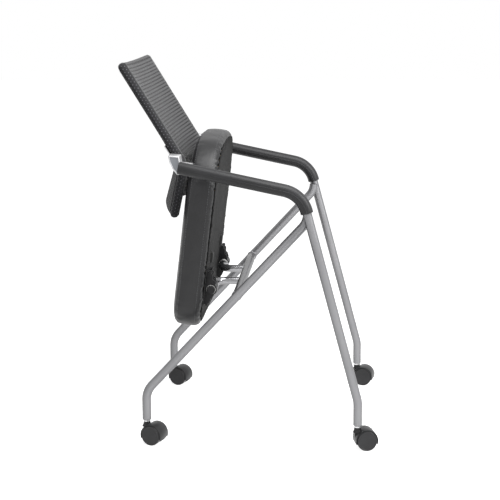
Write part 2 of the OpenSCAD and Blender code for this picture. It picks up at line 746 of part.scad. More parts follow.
module seat_flange(y0) {
    for (sx = [-1, 1]) for (sy = [0, 1])
        translate([sx > 0 ? flange_front - flange_r : -flange_back + flange_r,
            y0 + flange_r + sy * (bracket_w - 2 * flange_r), under_h - flange_t])
            cylinder(h = flange_t - press_gap, r = flange_r);
    translate([-flange_back + flange_r, y0, under_h - flange_t])
        cube([flange_front + flange_back - 2 * flange_r, bracket_w, flange_t - press_gap]);
    translate([-flange_back, y0 + flange_r, under_h - flange_t])
        cube([flange_front + flange_back, bracket_w - 2 * flange_r, flange_t - press_gap]);
}

module along_y(y, h) {
    translate([0, y + h, 0]) rotate([90, 0, 0]) children();
}

// The stop collar is open where the pin sweeps, from the flipped to the level seat
module stop_collar(y0) {
    pin_half = stop_pin_d / 2 + stop_gap;
    along_y(y0, collar_t) difference() {
        union() {
            cylinder(h = collar_t, r = boss_r);
            translate([-boss_r, 0, 0]) cube([2 * boss_r, under_h - press_gap, collar_t]);
        }
        translate([0, 0, -over]) cylinder(h = collar_t + 2 * over, r = arm_rod_d / 2 + bush_t);
        translate([0, 0, -over]) rotate([0, 0, -flip_rest])
            rotate_extrude(angle = flip_rest - seat_tilt) square([2 * boss_r, collar_t + 2 * over]);
        for (a = [-flip_rest, -seat_tilt]) rotate([0, 0, a]) translate([0, -pin_half, -over])
            cube([2 * boss_r, 2 * pin_half, collar_t + 2 * over]);
    }
}

module seat_bracket(s) {
    k = side(s);
    color(black) seat_place() mirror([0, k > 0 ? 0 : 1, 0]) {
        difference() {
            union() {
                seat_flange(bracket_in);
                along_y(bracket_in, bracket_w) cylinder(h = bracket_w, r = boss_r);
                for (i = [0:rib_count - 1])
                    along_y(bracket_in + (bracket_w - rib_t) * i / (rib_count - 1), rib_t)
                        linear_extrude(rib_t) polygon(rib_pts);
                translate([-boss_r, bracket_in - (stop_w - collar_t), under_h - flange_t])
                    cube([2 * boss_r, stop_w - collar_t + over, flange_t - press_gap]);
            }
            along_y(bracket_in - over, bracket_w + 2 * over)
                cylinder(h = bracket_w + 2 * over, r = arm_rod_d / 2 + run_gap + bush_t + press_gap);
            for (p = seat_screw_pts) translate([p[0], p[1], under_h - flange_t - over])
                cylinder(h = flange_t + 2 * over, d = seat_screw_d + 2 * press_gap);
        }
        stop_collar(bracket_in - collar_t - (stop_w - collar_t) / 2);
    }
}
seat_screw_pts = [for (x = [-flange_back + bracket_screw_x, flange_front - bracket_screw_x])
    for (y = [-1, 1]) [x, bracket_mid + y * (bracket_w / 2 - bracket_screw_y - rib_t)]];

module seat_bracket_screws() {
    color(steel) seat_place() for (k = [-1, 1]) for (p = seat_screw_pts) {
        translate([p[0], k * p[1], under_h - flange_t])
            cylinder(h = flange_t - press_gap, d = seat_screw_d);
        translate([p[0], k * p[1], under_h - flange_t - seat_head_t])
            cylinder(h = seat_head_t, d = seat_head_d);
    }
}

// Nylon bush between the bracket and the pivot stub
module pivot_bush(s) {
    k = side(s);
    color("white") seat_place() mirror([0, k > 0 ? 0 : 1, 0])
        along_y(bracket_in, bracket_w) difference() {
            cylinder(h = bracket_w, r = arm_rod_d / 2 + run_gap + bush_t);
            translate([0, 0, -over]) cylinder(h = bracket_w + 2 * over, r = arm_rod_d / 2 + run_gap);
        }
}

// Rubber pads under the board that come down on the crossbar
pad_len = 26;
pad_w = 20;
pad_y = 128;
pad_gap = 0.3;
pad_h = under_h + pivot_back * sin(seat_tilt) - tube_d / 2 - pad_gap;

module seat_rest_pads() {
    color(black) seat_place() for (k = [-1, 1])
        translate([pivot_back * cos(seat_tilt), k * pad_y, under_h - press_gap]) mirror([0, 0, 1])
            intersection() {
                translate([-pad_len / 2, -pad_w / 2, 0]) cube([pad_len, pad_w, pad_h]);
                cylinder(h = pad_h, d1 = 2 * pad_w, d2 = pad_len);
            }
}

// Twin-wheel caster, drawn with its swivel axis at the origin and its wheels ahead of it
web_t = 10;
hood_span = 216;
hood_from = -18;
hub_r = 9;
spine_w = 9;
neck_r = 8;
neck_foot_r = 11.5;
neck_top = 56;
neck_low = 38;
stem_in = 14;
collar_d = 17;
collar_h = 2.5;
stem_top = 34;
axle_out = 3;
wheel_gap = 0.8;
tread_r = 2.5;
face_dish = 1;
face_rim = 3;

module caster_place(x, k, track) {
    translate([x, k * track / 2, 0]) rotate([0, 0, x > 0 ? -k * front_swivel : -rear_swivel])
        children();
}

module caster_body() {
    color(black) difference() {
        union() {
            translate([trail, 0, wheel_d / 2]) rotate([90, 0, 0]) {
                rotate([0, 0, hood_from]) rotate_extrude(angle = hood_span) {
                    translate([hood_r - hood_t, -hood_w / 2]) square([hood_t, hood_w]);
                    translate([axle_d, -web_t / 2]) square([hood_r - axle_d - hood_t / 2, web_t]);
                }
                cylinder(h = web_t + wheel_gap, r = hub_r, center = true);
            }
            difference() {
                translate([0, 0, neck_low])
                    cylinder(h = neck_top - neck_low, r1 = neck_foot_r, r2 = neck_r);
                translate([trail, 0, wheel_d / 2]) rotate([90, 0, 0])
                    cylinder(h = hood_w, r = hood_r - hood_t / 2, center = true);
            }
            translate([-neck_r, -spine_w / 2, wheel_d / 2])
                cube([2 * neck_r, spine_w, neck_top - wheel_d / 2 - over]);
        }
        translate([trail, 0, wheel_d / 2]) rotate([90, 0, 0])
            cylinder(h = web_t + 2 * over, d = axle_d + 2 * press_gap, center = true);
        translate([0, 0, neck_top - stem_in]) cylinder(h = stem_in + over, d = stem_d + 2 * press_gap);
    }
}

module caster_stem() {
    color(steel) {
        translate([0, 0, neck_top - stem_in + press_gap])
            cylinder(h = socket_h + stem_top - neck_top + stem_in, d = stem_d);
        translate([0, 0, neck_top + press_gap]) cylinder(h = collar_h, d = collar_d);
    }
}

module caster_axle() {
    color(steel) translate([trail, 0, wheel_d / 2]) rotate([90, 0, 0])
        cylinder(h = web_t + 2 * (wheel_gap + wheel_w - axle_out), d = axle_d, center = true);
}

// One wheel, drawn about its own axle line with its open hub towards Z = 0
module wheel() {
    color(grey_black) rotate_extrude() polygon([
        [axle_d / 2 + run_gap, 0], [wheel_d / 2 - tread_r, 0], [wheel_d / 2, tread_r],
        [wheel_d / 2, wheel_w - tread_r], [wheel_d / 2 - tread_r, wheel_w],
        [wheel_d / 2 - tread_r - face_rim, wheel_w - face_dish], [0, wheel_w - face_dish],
        [0, wheel_w - axle_out + run_gap], [axle_d / 2 + run_gap, wheel_w - axle_out + run_gap]]);
}

module caster_wheel(way) {
    translate([trail, way * (web_t / 2 + wheel_gap), wheel_d / 2]) rotate([-way * 90, 0, 0]) wheel();
}

placed() front_leg("left");  // front_leg_left
placed() front_leg("right");  // front_leg_right
placed() rear_leg("left");  // rear_leg_left
placed() rear_leg("right");  // rear_leg_right
placed() crossbar();
placed() seat_rod("left");  // seat_rod_left
placed() seat_rod("right");  // seat_rod_right
placed() stop_pins();
placed() pivot_cap("left");  // pivot_cap_left
placed() pivot_cap("right");  // pivot_cap_right
placed() arm_sleeve("left");  // arm_sleeve_left
placed() arm_sleeve("right");  // arm_sleeve_right
placed() arm_end_plugs();
placed() arm_sleeve_screws();
placed() back_frame();
placed() back_front_knit();
placed() back_rear_cover();
placed() back_band("left");  // back_band_left
placed() back_band("right");  // back_band_right
placed() back_top_band();
placed() back_bottom_band();
placed() back_bracket("left");  // back_bracket_left
placed() back_bracket("right");  // back_bracket_right
placed() back_bracket_screws();
placed() seat_board();
placed() seat_cushion();
placed() seat_under_cover();
placed() seat_bracket("left");  // seat_bracket_left
placed() seat_bracket("right");  // seat_bracket_right
placed() pivot_bush("left");  // pivot_bush_left
placed() pivot_bush("right");  // pivot_bush_right
placed() seat_bracket_screws();
placed() seat_rest_pads();
for (c = [["front_left", stem_x, 1, front_track], ["front_right", stem_x, -1, front_track],
        ["rear_left", -stem_x, 1, rear_track], ["rear_right", -stem_x, -1, rear_track]]) {
    placed() stem_socket(c[1], c[2], c[3]);
    placed() caster_place(c[1], c[2], c[3]) caster_body();
    placed() caster_place(c[1], c[2], c[3]) caster_stem();
    placed() caster_place(c[1], c[2], c[3]) caster_axle();
    placed() caster_place(c[1], c[2], c[3]) caster_wheel(c[2]);
    placed() caster_place(c[1], c[2], c[3]) caster_wheel(-c[2]);
}
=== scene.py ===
import math

import bmesh
import bpy
from mathutils import Matrix, Vector, noise
from mathutils.bvhtree import BVHTree


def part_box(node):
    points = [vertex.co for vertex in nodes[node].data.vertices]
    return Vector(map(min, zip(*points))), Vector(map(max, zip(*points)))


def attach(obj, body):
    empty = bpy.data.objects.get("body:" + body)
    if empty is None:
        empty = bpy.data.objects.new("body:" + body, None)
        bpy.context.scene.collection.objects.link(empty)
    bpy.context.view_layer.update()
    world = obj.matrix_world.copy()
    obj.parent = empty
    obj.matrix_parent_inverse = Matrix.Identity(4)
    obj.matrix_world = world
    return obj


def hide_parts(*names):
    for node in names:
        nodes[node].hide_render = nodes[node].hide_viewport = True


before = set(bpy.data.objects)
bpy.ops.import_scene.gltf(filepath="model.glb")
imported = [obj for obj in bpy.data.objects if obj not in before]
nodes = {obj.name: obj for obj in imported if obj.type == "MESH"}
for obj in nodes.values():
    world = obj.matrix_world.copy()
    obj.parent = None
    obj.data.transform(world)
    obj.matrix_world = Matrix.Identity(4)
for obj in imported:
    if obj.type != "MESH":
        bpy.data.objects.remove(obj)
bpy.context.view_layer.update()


# Leg frame. Bent steel tube, two tubes a side and a crossbar, welded and powder
# coated in a satin silver grey; the rods that carry the seat are coated with them.
# The tubes are the CAD nodes, so only their finish is made here.

def grain_group():
    """Fine random relief and tone, for coats, mouldings and hides."""
    group = bpy.data.node_groups.new("fine_grain", "ShaderNodeTree")
    for name, kind, start in (("Vector", "NodeSocketVector", None),
                              ("Scale", "NodeSocketFloat", 900.0),
                              ("Patch Scale", "NodeSocketFloat", 18.0)):
        socket = group.interface.new_socket(name, in_out="INPUT", socket_type=kind)
        if start is not None:
            socket.default_value = start
    for name in ("Height", "Patch"):
        group.interface.new_socket(name, in_out="OUTPUT", socket_type="NodeSocketFloat")
    start = group.nodes.new("NodeGroupInput")
    end = group.nodes.new("NodeGroupOutput")
    fine = group.nodes.new("ShaderNodeTexNoise")
    fine.inputs["Detail"].default_value = 3.0
    patch = group.nodes.new("ShaderNodeTexNoise")
    patch.inputs["Detail"].default_value = 2.0
    group.links.new(start.outputs["Vector"], fine.inputs["Vector"])
    group.links.new(start.outputs["Scale"], fine.inputs["Scale"])
    group.links.new(start.outputs["Vector"], patch.inputs["Vector"])
    group.links.new(start.outputs["Patch Scale"], patch.inputs["Scale"])
    group.links.new(fine.outputs["Fac"], end.inputs["Height"])
    group.links.new(patch.outputs["Fac"], end.inputs["Patch"])
    return group


fine_grain = grain_group()


def ramp(tree, source, stops):
    """A colour ramp from a 0 to 1 value: stops are (place, colour)."""
    node = tree.nodes.new("ShaderNodeValToRGB")
    band = node.color_ramp
    while len(band.elements) < len(stops):
        band.elements.new(1.0)
    for element, (place, colour) in zip(band.elements, stops):
        element.position = place
        element.color = (*colour, 1.0)
    tree.links.new(source, node.inputs["Fac"])
    return node.outputs["Color"]


def new_material(name):
    """A new material, its node tree and its shader."""
    material = bpy.data.materials.new(name)
    material.use_nodes = True
    return material, material.node_tree, material.node_tree.nodes["Principled BSDF"]


def spread(tree, source, low, high, start=0.0, end=1.0):
    """Maps a value from the range start to end onto the range low to high."""
    node = tree.nodes.new("ShaderNodeMapRange")
    for name, value in zip(("From Min", "From Max", "To Min", "To Max"), (start, end, low, high)):
        node.inputs[name].default_value = value
    tree.links.new(source, node.inputs["Value"])
    return node.outputs["Result"]


def relief(tree, height, distance, strength=1.0, under=None):
    """A bump of a real height, laid over another one's normal if there is one."""
    node = tree.nodes.new("ShaderNodeBump")
    node.inputs["Distance"].default_value = distance
    node.inputs["Strength"].default_value = strength
    tree.links.new(height, node.inputs["Height"])
    if under:
        tree.links.new(under, node.inputs["Normal"])
    return node.outputs["Normal"]


def grained(name, dark, light, roughness, metallic=0.0, scale=900.0, patch=18.0,
            depth=0.00003, rough_spread=0.08, coat=0.0, sheen=0.0, edge_shade=0.0, gloss=0.5):
    """A finish whose colour drifts a little in patches and whose surface has a fine relief.

    edge_shade is the share by which the colour is painted darker where the surface is seen at a
    slant: painted shade along the edges.
    """
    material, tree, shader = new_material(name)
    place = tree.nodes.new("ShaderNodeTexCoord")
    grain = tree.nodes.new("ShaderNodeGroup")
    grain.node_tree = fine_grain
    grain.inputs["Scale"].default_value = scale
    grain.inputs["Patch Scale"].default_value = patch
    tree.links.new(place.outputs["Object"], grain.inputs["Vector"])
    tone = ramp(tree, grain.outputs["Patch"], [(0.3, dark), (0.7, light)])
    # Painted shade: the colour is darkened where the surface is seen at a slant.
    if edge_shade:
        slant = tree.nodes.new("ShaderNodeLayerWeight")
        slant.inputs["Blend"].default_value = 0.35
        fall = spread(tree, slant.outputs["Facing"], 1.0, 1.0 - edge_shade)
        darker = tree.nodes.new("ShaderNodeVectorMath")
        darker.operation = "SCALE"
        tree.links.new(tone, darker.inputs[0])
        tree.links.new(fall, darker.inputs["Scale"])
        tone = darker.outputs["Vector"]
    tree.links.new(tone, shader.inputs["Base Color"])
    tree.links.new(spread(tree, grain.outputs["Patch"], roughness - rough_spread,
                          roughness + rough_spread), shader.inputs["Roughness"])
    tree.links.new(relief(tree, grain.outputs["Height"], depth), shader.inputs["Normal"])
    shader.inputs["Metallic"].default_value = metallic
    shader.inputs["Specular IOR Level"].default_value = gloss
    shader.inputs["Coat Weight"].default_value = coat
    shader.inputs["Coat Roughness"].default_value = 0.3
    shader.inputs["Sheen Weight"].default_value = sheen
    shader.inputs["Sheen Roughness"].default_value = 0.5
    return material


def dress(material, *names):
    """Gives CAD nodes a finish."""
    for name in names:
        for place in nodes[name].material_slots:
            place.material = material


# The tube coat and the rod plating are painted darker towards their edges: painted shade.
silver_coat = grained("silver_coat", (0.29, 0.29, 0.30), (0.33, 0.33, 0.34), 0.34,
                      metallic=0.45, scale=1400.0, patch=9.0, depth=0.00003, edge_shade=0.88,
                      gloss=0.25)
dress(silver_coat, "front_leg_left", "front_leg_right", "rear_leg_left", "rear_leg_right",
      "crossbar", "back_frame")
rod_plate = grained("rod_plate", (0.30, 0.30, 0.31), (0.36, 0.36, 0.37), 0.18, metallic=0.9,
                    scale=900.0, patch=12.0, rough_spread=0.04, edge_shade=0.85, gloss=0.4)
dress(rod_plate, "seat_rod_left", "seat_rod_right")

arm_y = 0.294
rear_y = 0.2719
shift = Vector((0.0084951, 0.0, 0.0))
foot_x = 0.262
knee = Vector((0.124512, 0.0, 0.631523)) + shift
arm_fall = math.radians(11.9)
leg_lean = math.radians(15.05)
arm_way = Vector((math.cos(arm_fall), 0.0, -math.sin(arm_fall)))
leg_way = Vector((math.sin(leg_lean), 0.0, -math.cos(leg_lean)))


# Weld beads. Where the crossbar meets each rear leg, low rings of weld show under the coat.

def finish_piece(bm, name, body, material, smooth=40.0):
    """Turns a bmesh into a piece that rides on a body."""
    bmesh.ops.remove_doubles(bm, verts=bm.verts, dist=0.00001)
    bmesh.ops.recalc_face_normals(bm, faces=bm.faces)
    mesh = bpy.data.meshes.new(name)
    bm.to_mesh(mesh)
    bm.free()
    mesh.materials.append(material)
    mesh.shade_smooth()
    mesh.set_sharp_from_angle(angle=math.radians(smooth))
    piece = bpy.data.objects.new(name, mesh)
    bpy.context.scene.collection.objects.link(piece)
    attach(piece, body)
    return piece


def edges_of(result):
    return [e for e in result if isinstance(e, bmesh.types.BMEdge)]


def verts_of(result):
    return [v for v in result if isinstance(v, bmesh.types.BMVert)]


def torus(bm, place, ring_r, tube_r, steps=48, sides=10):
    """A closed ring about the Z axis of its own place matrix."""
    start = bmesh.ops.create_circle(bm, cap_ends=False, radius=tube_r, segments=sides,
                                    matrix=Matrix.Translation((ring_r, 0, 0))
                                    @ Matrix.Rotation(math.radians(90), 4, "X"))["verts"]
    edges = list({e for v in start for e in v.link_edges})
    bmesh.ops.spin(bm, geom=start + edges, cent=(0, 0, 0), axis=(0, 0, 1), dvec=(0, 0, 0),
                   angle=math.tau, steps=steps, use_merge=True, use_duplicate=False)
    new = [v for v in bm.verts if not v.tag]
    bmesh.ops.transform(bm, matrix=place, verts=new)
    for v in new:
        v.tag = True


crossbar_low, crossbar_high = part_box("crossbar")
crossbar_mid = (crossbar_low + crossbar_high) / 2
bm = bmesh.new()
for side in (-1, 1):
    for reach, thick in ((0.2612, 0.0016), (0.2625, 0.0020)):
        torus(bm, Matrix.Translation((crossbar_mid.x, side * reach, crossbar_mid.z))
              @ Matrix.Rotation(math.radians(90), 4, "X"), 0.0112, thick)
finish_piece(bm, "crossbar_welds", "frame", silver_coat)


# Arm sleeves. Each arm has a moulded sleeve in dark grey, slid over the tube and its
# front bend, with rounded ends and a parting line along its outer and inner side.

sleeve_r = 0.0155
bore_r = 0.0112
lip = 0.0016
bend_r = 0.070
sleeve_start = Vector((-0.172, 0.0, 0.694)) + shift
knee_turn = math.radians(90) - arm_fall - leg_lean
knee_reach = bend_r * math.tan(knee_turn / 2)
sleeve_run = (knee - sleeve_start).length - knee_reach
sleeve_tail = 0.005
down = Vector((-math.sin(arm_fall), 0.0, -math.cos(arm_fall)))

moulding_grey = grained("moulding_grey", (0.018, 0.018, 0.019), (0.028, 0.028, 0.030), 0.42,
                        scale=1800.0, patch=14.0, depth=0.00008, rough_spread=0.06, gloss=0.3)


def lengthen(bm, edges, step, centre, widen=1.0):
    """Extrudes an open ring along step and widens it about its new centre."""
    made = bmesh.ops.extrude_edge_only(bm, edges=edges)["geom"]
    verts = verts_of(made)
    bmesh.ops.translate(bm, verts=verts, vec=step)
    bmesh.ops.scale(bm, verts=verts, vec=(widen, widen, widen),
                    space=Matrix.Translation(-(centre + step)))
    return edges_of(made), centre + step


for side, word in ((-1, "right"), (1, "left")):
    bm = bmesh.new()
    at = sleeve_start + Vector((0, side * arm_y, 0))
    turn_up = Matrix.Rotation(math.radians(90) + arm_fall, 4, "Y")
    ring = bmesh.ops.create_circle(bm, cap_ends=False, radius=bore_r, segments=96,
                                   matrix=Matrix.Translation(at) @ turn_up)["verts"]
    edges = list({e for v in ring for e in v.link_edges})
    # Rear face, then a rounded lip of three rings, with the parting line left proud.
    edges, at = lengthen(bm, edges, Vector((0, 0, 0)), at, (sleeve_r - lip) / bore_r)
    for k in (1, 2, 3):
        a0, a1 = math.radians(30 * (k - 1)), math.radians(30 * k)
        r0 = sleeve_r - lip * (1 - math.sin(a0))
        r1 = sleeve_r - lip * (1 - math.sin(a1))
        edges, at = lengthen(bm, edges, arm_way * lip * (math.cos(a0) - math.cos(a1)), at, r1 / r0)
    parting = [v for e in edges for v in e.verts if abs((v.co - at).dot(down)) < 0.0004]
    for v in set(parting):
        v.co += (v.co - at).normalized() * 0.0006
    edges, at = lengthen(bm, edges, arm_way * (sleeve_run - lip), at)
    centre = at + down * bend_r
    made = bmesh.ops.spin(bm, geom=edges + list({v for e in edges for v in e.verts}), cent=centre,
                          axis=(0, 1, 0), dvec=(0, 0, 0), angle=knee_turn, steps=28,
                          use_merge=False, use_duplicate=False)["geom_last"]
    edges = edges_of(made)
    at = centre + Matrix.Rotation(knee_turn, 3, "Y") @ (at - centre)
    edges, at = lengthen(bm, edges, leg_way * (sleeve_tail - lip), at)
    for k in (3, 2, 1):
        a0, a1 = math.radians(30 * k), math.radians(30 * (k - 1))
        r0 = sleeve_r - lip * (1 - math.sin(a0))
        r1 = sleeve_r - lip * (1 - math.sin(a1))
        edges, at = lengthen(bm, edges, leg_way * lip * (math.cos(a1) - math.cos(a0)), at, r1 / r0)
    edges, at = lengthen(bm, edges, Vector((0, 0, 0)), at, bore_r / (sleeve_r - lip))
    # Back along the bore to the start, so that the wall is closed.
    edges, at = lengthen(bm, edges, -leg_way * sleeve_tail, at)
    made = bmesh.ops.spin(bm, geom=edges + list({v for e in edges for v in e.verts}), cent=centre,
                          axis=(0, 1, 0), dvec=(0, 0, 0), angle=-knee_turn, steps=28,
                          use_merge=False, use_duplicate=False)["geom_last"]
    edges = edges_of(made)
    at = centre + Matrix.Rotation(-knee_turn, 3, "Y") @ (at - centre)
    lengthen(bm, edges, -arm_way * sleeve_run, at)
    piece = finish_piece(bm, "arm_sleeve_moulding_" + word, "frame", moulding_grey)
    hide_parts("arm_sleeve_" + word)

black_moulding = grained("black_moulding", (0.006, 0.006, 0.007), (0.012, 0.012, 0.013), 0.40,
                         scale=1500.0, patch=20.0, depth=0.00006, gloss=0.3)
dress(black_moulding, "arm_end_plugs", "pivot_cap_left", "pivot_cap_right",
      "stem_socket_front_left", "stem_socket_front_right", "stem_socket_rear_left",
      "stem_socket_rear_right")
bright_plate = grained("bright_plate", (0.55, 0.55, 0.56), (0.66, 0.66, 0.67), 0.26,
                       metallic=1.0, scale=700.0, patch=60.0, depth=0.00002)
dress(bright_plate, "arm_sleeve_screws", "back_bracket_screws", "stop_pins")


# Back. A tube loop inside, a ribbed knit stretched over the front and round the top and
# bottom edges, a spacer-knit band with open dots at each side, and a knit behind, ribbed like the
# front's and painted darker as painted shade.
# The knit is sewn to the bands along a fine seam, coloured light grey as a painted highlight.

waist = Vector((-0.160, 0.0, 0.680)) + shift
waist_r = 0.060
upper_lean = math.radians(31.5)
lower_lean = math.radians(12.0)
lower_len = 0.112
upper_len = 0.272
waist_len = waist_r * (upper_lean + lower_lean)
back_len = lower_len + waist_len + upper_len
low_sag = 0.038
top_sag = 0.010
back_w = 0.456
band_w = 0.022
face_half = back_w / 2 - band_w
edge_turn = 0.013
mid_depth = 0.014
back_t = 0.018
skin_t = 0.0025


def back_point(t, y, out):
    """A point t up the back's side line, y across and out in front of that line."""
    if t < lower_len:
        lean, past = -lower_lean, t - lower_len
    elif t > lower_len + waist_len:
        lean, past = upper_lean, t - lower_len - waist_len
    else:
        lean, past = -lower_lean + (t - lower_len) / waist_r, 0.0
    normal = Vector((math.cos(lean), 0.0, math.sin(lean)))
    along = Vector((-math.sin(lean), 0.0, math.cos(lean)))
    return (waist - Vector((waist_r, 0, 0)) + normal * (waist_r + out) + along * past
            + Vector((0, y, 0)))


def hollow(t, y):
    """How far the front face lies behind the side line: bowed over the end rails, and
    steeper near the sides between them."""
    sag = low_sag + (top_sag - low_sag) * min(max(t / back_len, 0.0), 1.0)
    away = min(max((min(t, back_len - t) - 0.020) / 0.050, 0.0), 1.0)
    return -sag * (1.0 - min(abs(y) / face_half, 1.0) ** (2.0 + 1.1 * away))


def rear_out(t, y):
    share = min(abs(y) / face_half, 1.0) ** 2
    sag = low_sag + (top_sag - low_sag) * min(max(t / back_len, 0.0), 1.0)
    return -sag * (1.0 - share) - mid_depth - (back_t - mid_depth) * share - skin_t


rib_pitch = 0.0087
wrap_len = 0.030
front_len = back_len - 2 * edge_turn
cloth_len = front_len + 2 * wrap_len


def wrapped(v, y):
    """The cloth's path up the back: under the bottom edge, up the front, over the top."""
    def turned(t0, way, share):
        angle = math.pi * share
        f, r = hollow(t0, y), rear_out(t0, y)
        return back_point(t0 + way * edge_turn * max(math.sin(angle), 0.0) ** 0.8, y,
                          f + (r - f) * (1 - math.cos(angle)) / 2)
    if v < wrap_len:
        return turned(edge_turn, -1, 1 - v / wrap_len)
    if v > wrap_len + front_len:
        return turned(back_len - edge_turn, 1, (v - wrap_len - front_len) / wrap_len)
    t = edge_turn + v - wrap_len
    return back_point(t, y, hollow(t, y))


def cloth_grid(columns, rows, place):
    """A grid of cloth with a UV map in metres; place gives each point from (u, v) shares."""
    bm = bmesh.new()
    uv = bm.loops.layers.uv.new("cloth")
    bmesh.ops.create_grid(bm, x_segments=columns, y_segments=rows, size=0.5)
    shares = {v: (v.co.x + 0.5, v.co.y + 0.5) for v in bm.verts}
    for face in bm.faces:
        for loop in face.loops:
            loop[uv].uv = shares[loop.vert]
    for v, (a, b) in shares.items():
        v.co = place(a, b)
    return bm


def knit_group():
    """Loops of knitted yarn: rows along V, columns along U, both in metres."""
    group = bpy.data.node_groups.new("knit_loops", "ShaderNodeTree")
    for name, kind, start in (("UV", "NodeSocketVector", None),
                              ("Column", "NodeSocketFloat", 0.0022),
                              ("Row", "NodeSocketFloat", 0.0016)):
        socket = group.interface.new_socket(name, in_out="INPUT", socket_type=kind)
        if start is not None:
            socket.default_value = start
    group.interface.new_socket("Loops", in_out="OUTPUT", socket_type="NodeSocketFloat")
    start = group.nodes.new("NodeGroupInput")
    end = group.nodes.new("NodeGroupOutput")
    split = group.nodes.new("ShaderNodeSeparateXYZ")
    group.links.new(start.outputs["UV"], split.inputs["Vector"])
    waves = []
    for axis, size in (("X", "Column"), ("Y", "Row")):
        share = group.nodes.new("ShaderNodeMath")
        share.operation = "DIVIDE"
        group.links.new(split.outputs[axis], share.inputs[0])
        group.links.new(start.outputs[size], share.inputs[1])
        turn = group.nodes.new("ShaderNodeMath")
        turn.operation = "MULTIPLY"
        turn.inputs[1].default_value = math.tau
        group.links.new(share.outputs[0], turn.inputs[0])
        wave = group.nodes.new("ShaderNodeMath")
        wave.operation = "COSINE"
        group.links.new(turn.outputs[0], wave.inputs[0])
        waves.append(wave.outputs[0])
    both = group.nodes.new("ShaderNodeMath")
    both.operation = "ADD"
    group.links.new(waves[0], both.inputs[0])
    group.links.new(waves[1], both.inputs[1])
    group.links.new(spread(group, both.outputs[0], 0.0, 1.0, -2.0, 2.0), end.inputs["Loops"])
    return group


knit_loops = knit_group()


def knit(name, dark, light, column, row, depth, groove_shade=None, dots=None, roughness=0.8):
    """Knitted cloth. groove_shade is (pitch, share of the groove, colour of the groove) along V:
    the grooves between the ribs are painted darker as painted shade; dots is (pitch, columns of U
    shares in metres, radius, colour)."""
    material, tree, shader = new_material(name)
    shader.inputs["Roughness"].default_value = roughness
    shader.inputs["Sheen Weight"].default_value = 0.25
    shader.inputs["Sheen Roughness"].default_value = 0.4
    shader.inputs["Specular IOR Level"].default_value = 0.3
    place = tree.nodes.new("ShaderNodeUVMap")
    place.uv_map = "cloth"
    loops = tree.nodes.new("ShaderNodeGroup")
    loops.node_tree = knit_loops
    loops.inputs["Column"].default_value = column
    loops.inputs["Row"].default_value = row
    tree.links.new(place.outputs["UV"], loops.inputs["UV"])
    colour = ramp(tree, loops.outputs["Loops"], [(0.15, dark), (0.75, light)])
    split = tree.nodes.new("ShaderNodeSeparateXYZ")
    tree.links.new(place.outputs["UV"], split.inputs["Vector"])

    def maths(operation, a, b=None):
        node = tree.nodes.new("ShaderNodeMath")
        node.operation = operation
        for k, value in enumerate((a, b)):
            if value is None:
                continue
            if isinstance(value, (int, float)):
                node.inputs[k].default_value = value
            else:
                tree.links.new(value, node.inputs[k])
        return node.outputs[0]

    def lay(mask, over):
        mix = tree.nodes.new("ShaderNodeMix")
        mix.data_type = "RGBA"
        tree.links.new(mask, mix.inputs["Factor"])
        tree.links.new(colour, mix.inputs["A"])
        mix.inputs["B"].default_value = (*over, 1.0)
        return mix.outputs["Result"]

    # Painted shade: the groove between each pair of ribs is coloured darker.
    if groove_shade:
        pitch, gap, groove_shade_colour = groove_shade
        phase = maths("FRACT", maths("DIVIDE", split.outputs["Y"], pitch))
        off = maths("ABSOLUTE", maths("SUBTRACT", phase, 0.5))
        colour = lay(spread(tree, off, 0.0, 1.0, 0.5 - gap * 0.75, 0.5 - gap * 0.25), groove_shade_colour)
    if dots:
        pitch, columns, radius, dot_colour = dots
        for k, across in enumerate(columns):
            turns = maths("DIVIDE", split.outputs["Y"], pitch)
            phase = maths("FRACT", maths("ADD", turns, k * 0.5))
            dy = maths("MULTIPLY", maths("SUBTRACT", phase, 0.5), pitch)
            dx = maths("SUBTRACT", split.outputs["X"], across)
            near = maths("SQRT", maths("ADD", maths("MULTIPLY", dx, dx), maths("MULTIPLY", dy, dy)))
            colour = lay(spread(tree, near, 0.0, 1.0, radius, radius * 0.6), dot_colour)
    tree.links.new(colour, shader.inputs["Base Color"])
    tree.links.new(relief(tree, loops.outputs["Loops"], depth), shader.inputs["Normal"])
    return material


# Both ribbed knits have painted shade in the grooves between their ribs.
ribbed_cloth = knit("ribbed_cloth", (0.055, 0.055, 0.057), (0.105, 0.105, 0.107), 0.0030, 0.0019,
                    0.0003, groove_shade=(rib_pitch, 0.40, (0.010, 0.010, 0.011)))
band_cloth = knit("band_cloth", (0.003, 0.003, 0.004), (0.014, 0.014, 0.016), 0.0026, 0.0022,
                  0.0006, dots=(0.0088, (0.0095, 0.0165, 0.0240, 0.0310), 0.0015,
                                (0.11, 0.11, 0.12)))
# The rear knit is ribbed like the front's and painted darker: painted shade.
shaded_rear_cloth = knit("shaded_rear_cloth", (0.018, 0.018, 0.019), (0.040, 0.040, 0.042), 0.0024, 0.0024,
                  0.0004, groove_shade=(rib_pitch, 0.40, (0.006, 0.006, 0.006)))


def thicken(piece, thickness):
    """Gives a cloth its wall, inward from its outer face."""
    solid = piece.modifiers.new("wall", "SOLIDIFY")
    solid.thickness = thickness
    solid.offset = -1.0
    solid.use_even_offset = False


def front_place(a, b):
    y = (2 * a - 1) * (face_half - 0.0003)
    v = b * cloth_len
    base = wrapped(v, y)
    step = wrapped(min(v + 0.0005, cloth_len), y) - wrapped(max(v - 0.0005, 0.0), y)
    normal = step.cross(Vector((0, 1, 0))).normalized() * -1.0
    phase = (v / rib_pitch) % 1.0 - 0.5
    rib = max(math.cos(math.pi * phase), 0.0) ** 0.5 - 0.72
    edge = min(1.0, (1 - abs(2 * a - 1)) / 0.03)
    return base + normal * 0.0011 * rib * edge


def scale_uv(bm, width, length):
    layer = bm.loops.layers.uv["cloth"]
    for face in bm.faces:
        for loop in face.loops:
            loop[layer].uv = (loop[layer].uv[0] * width, loop[layer].uv[1] * length)


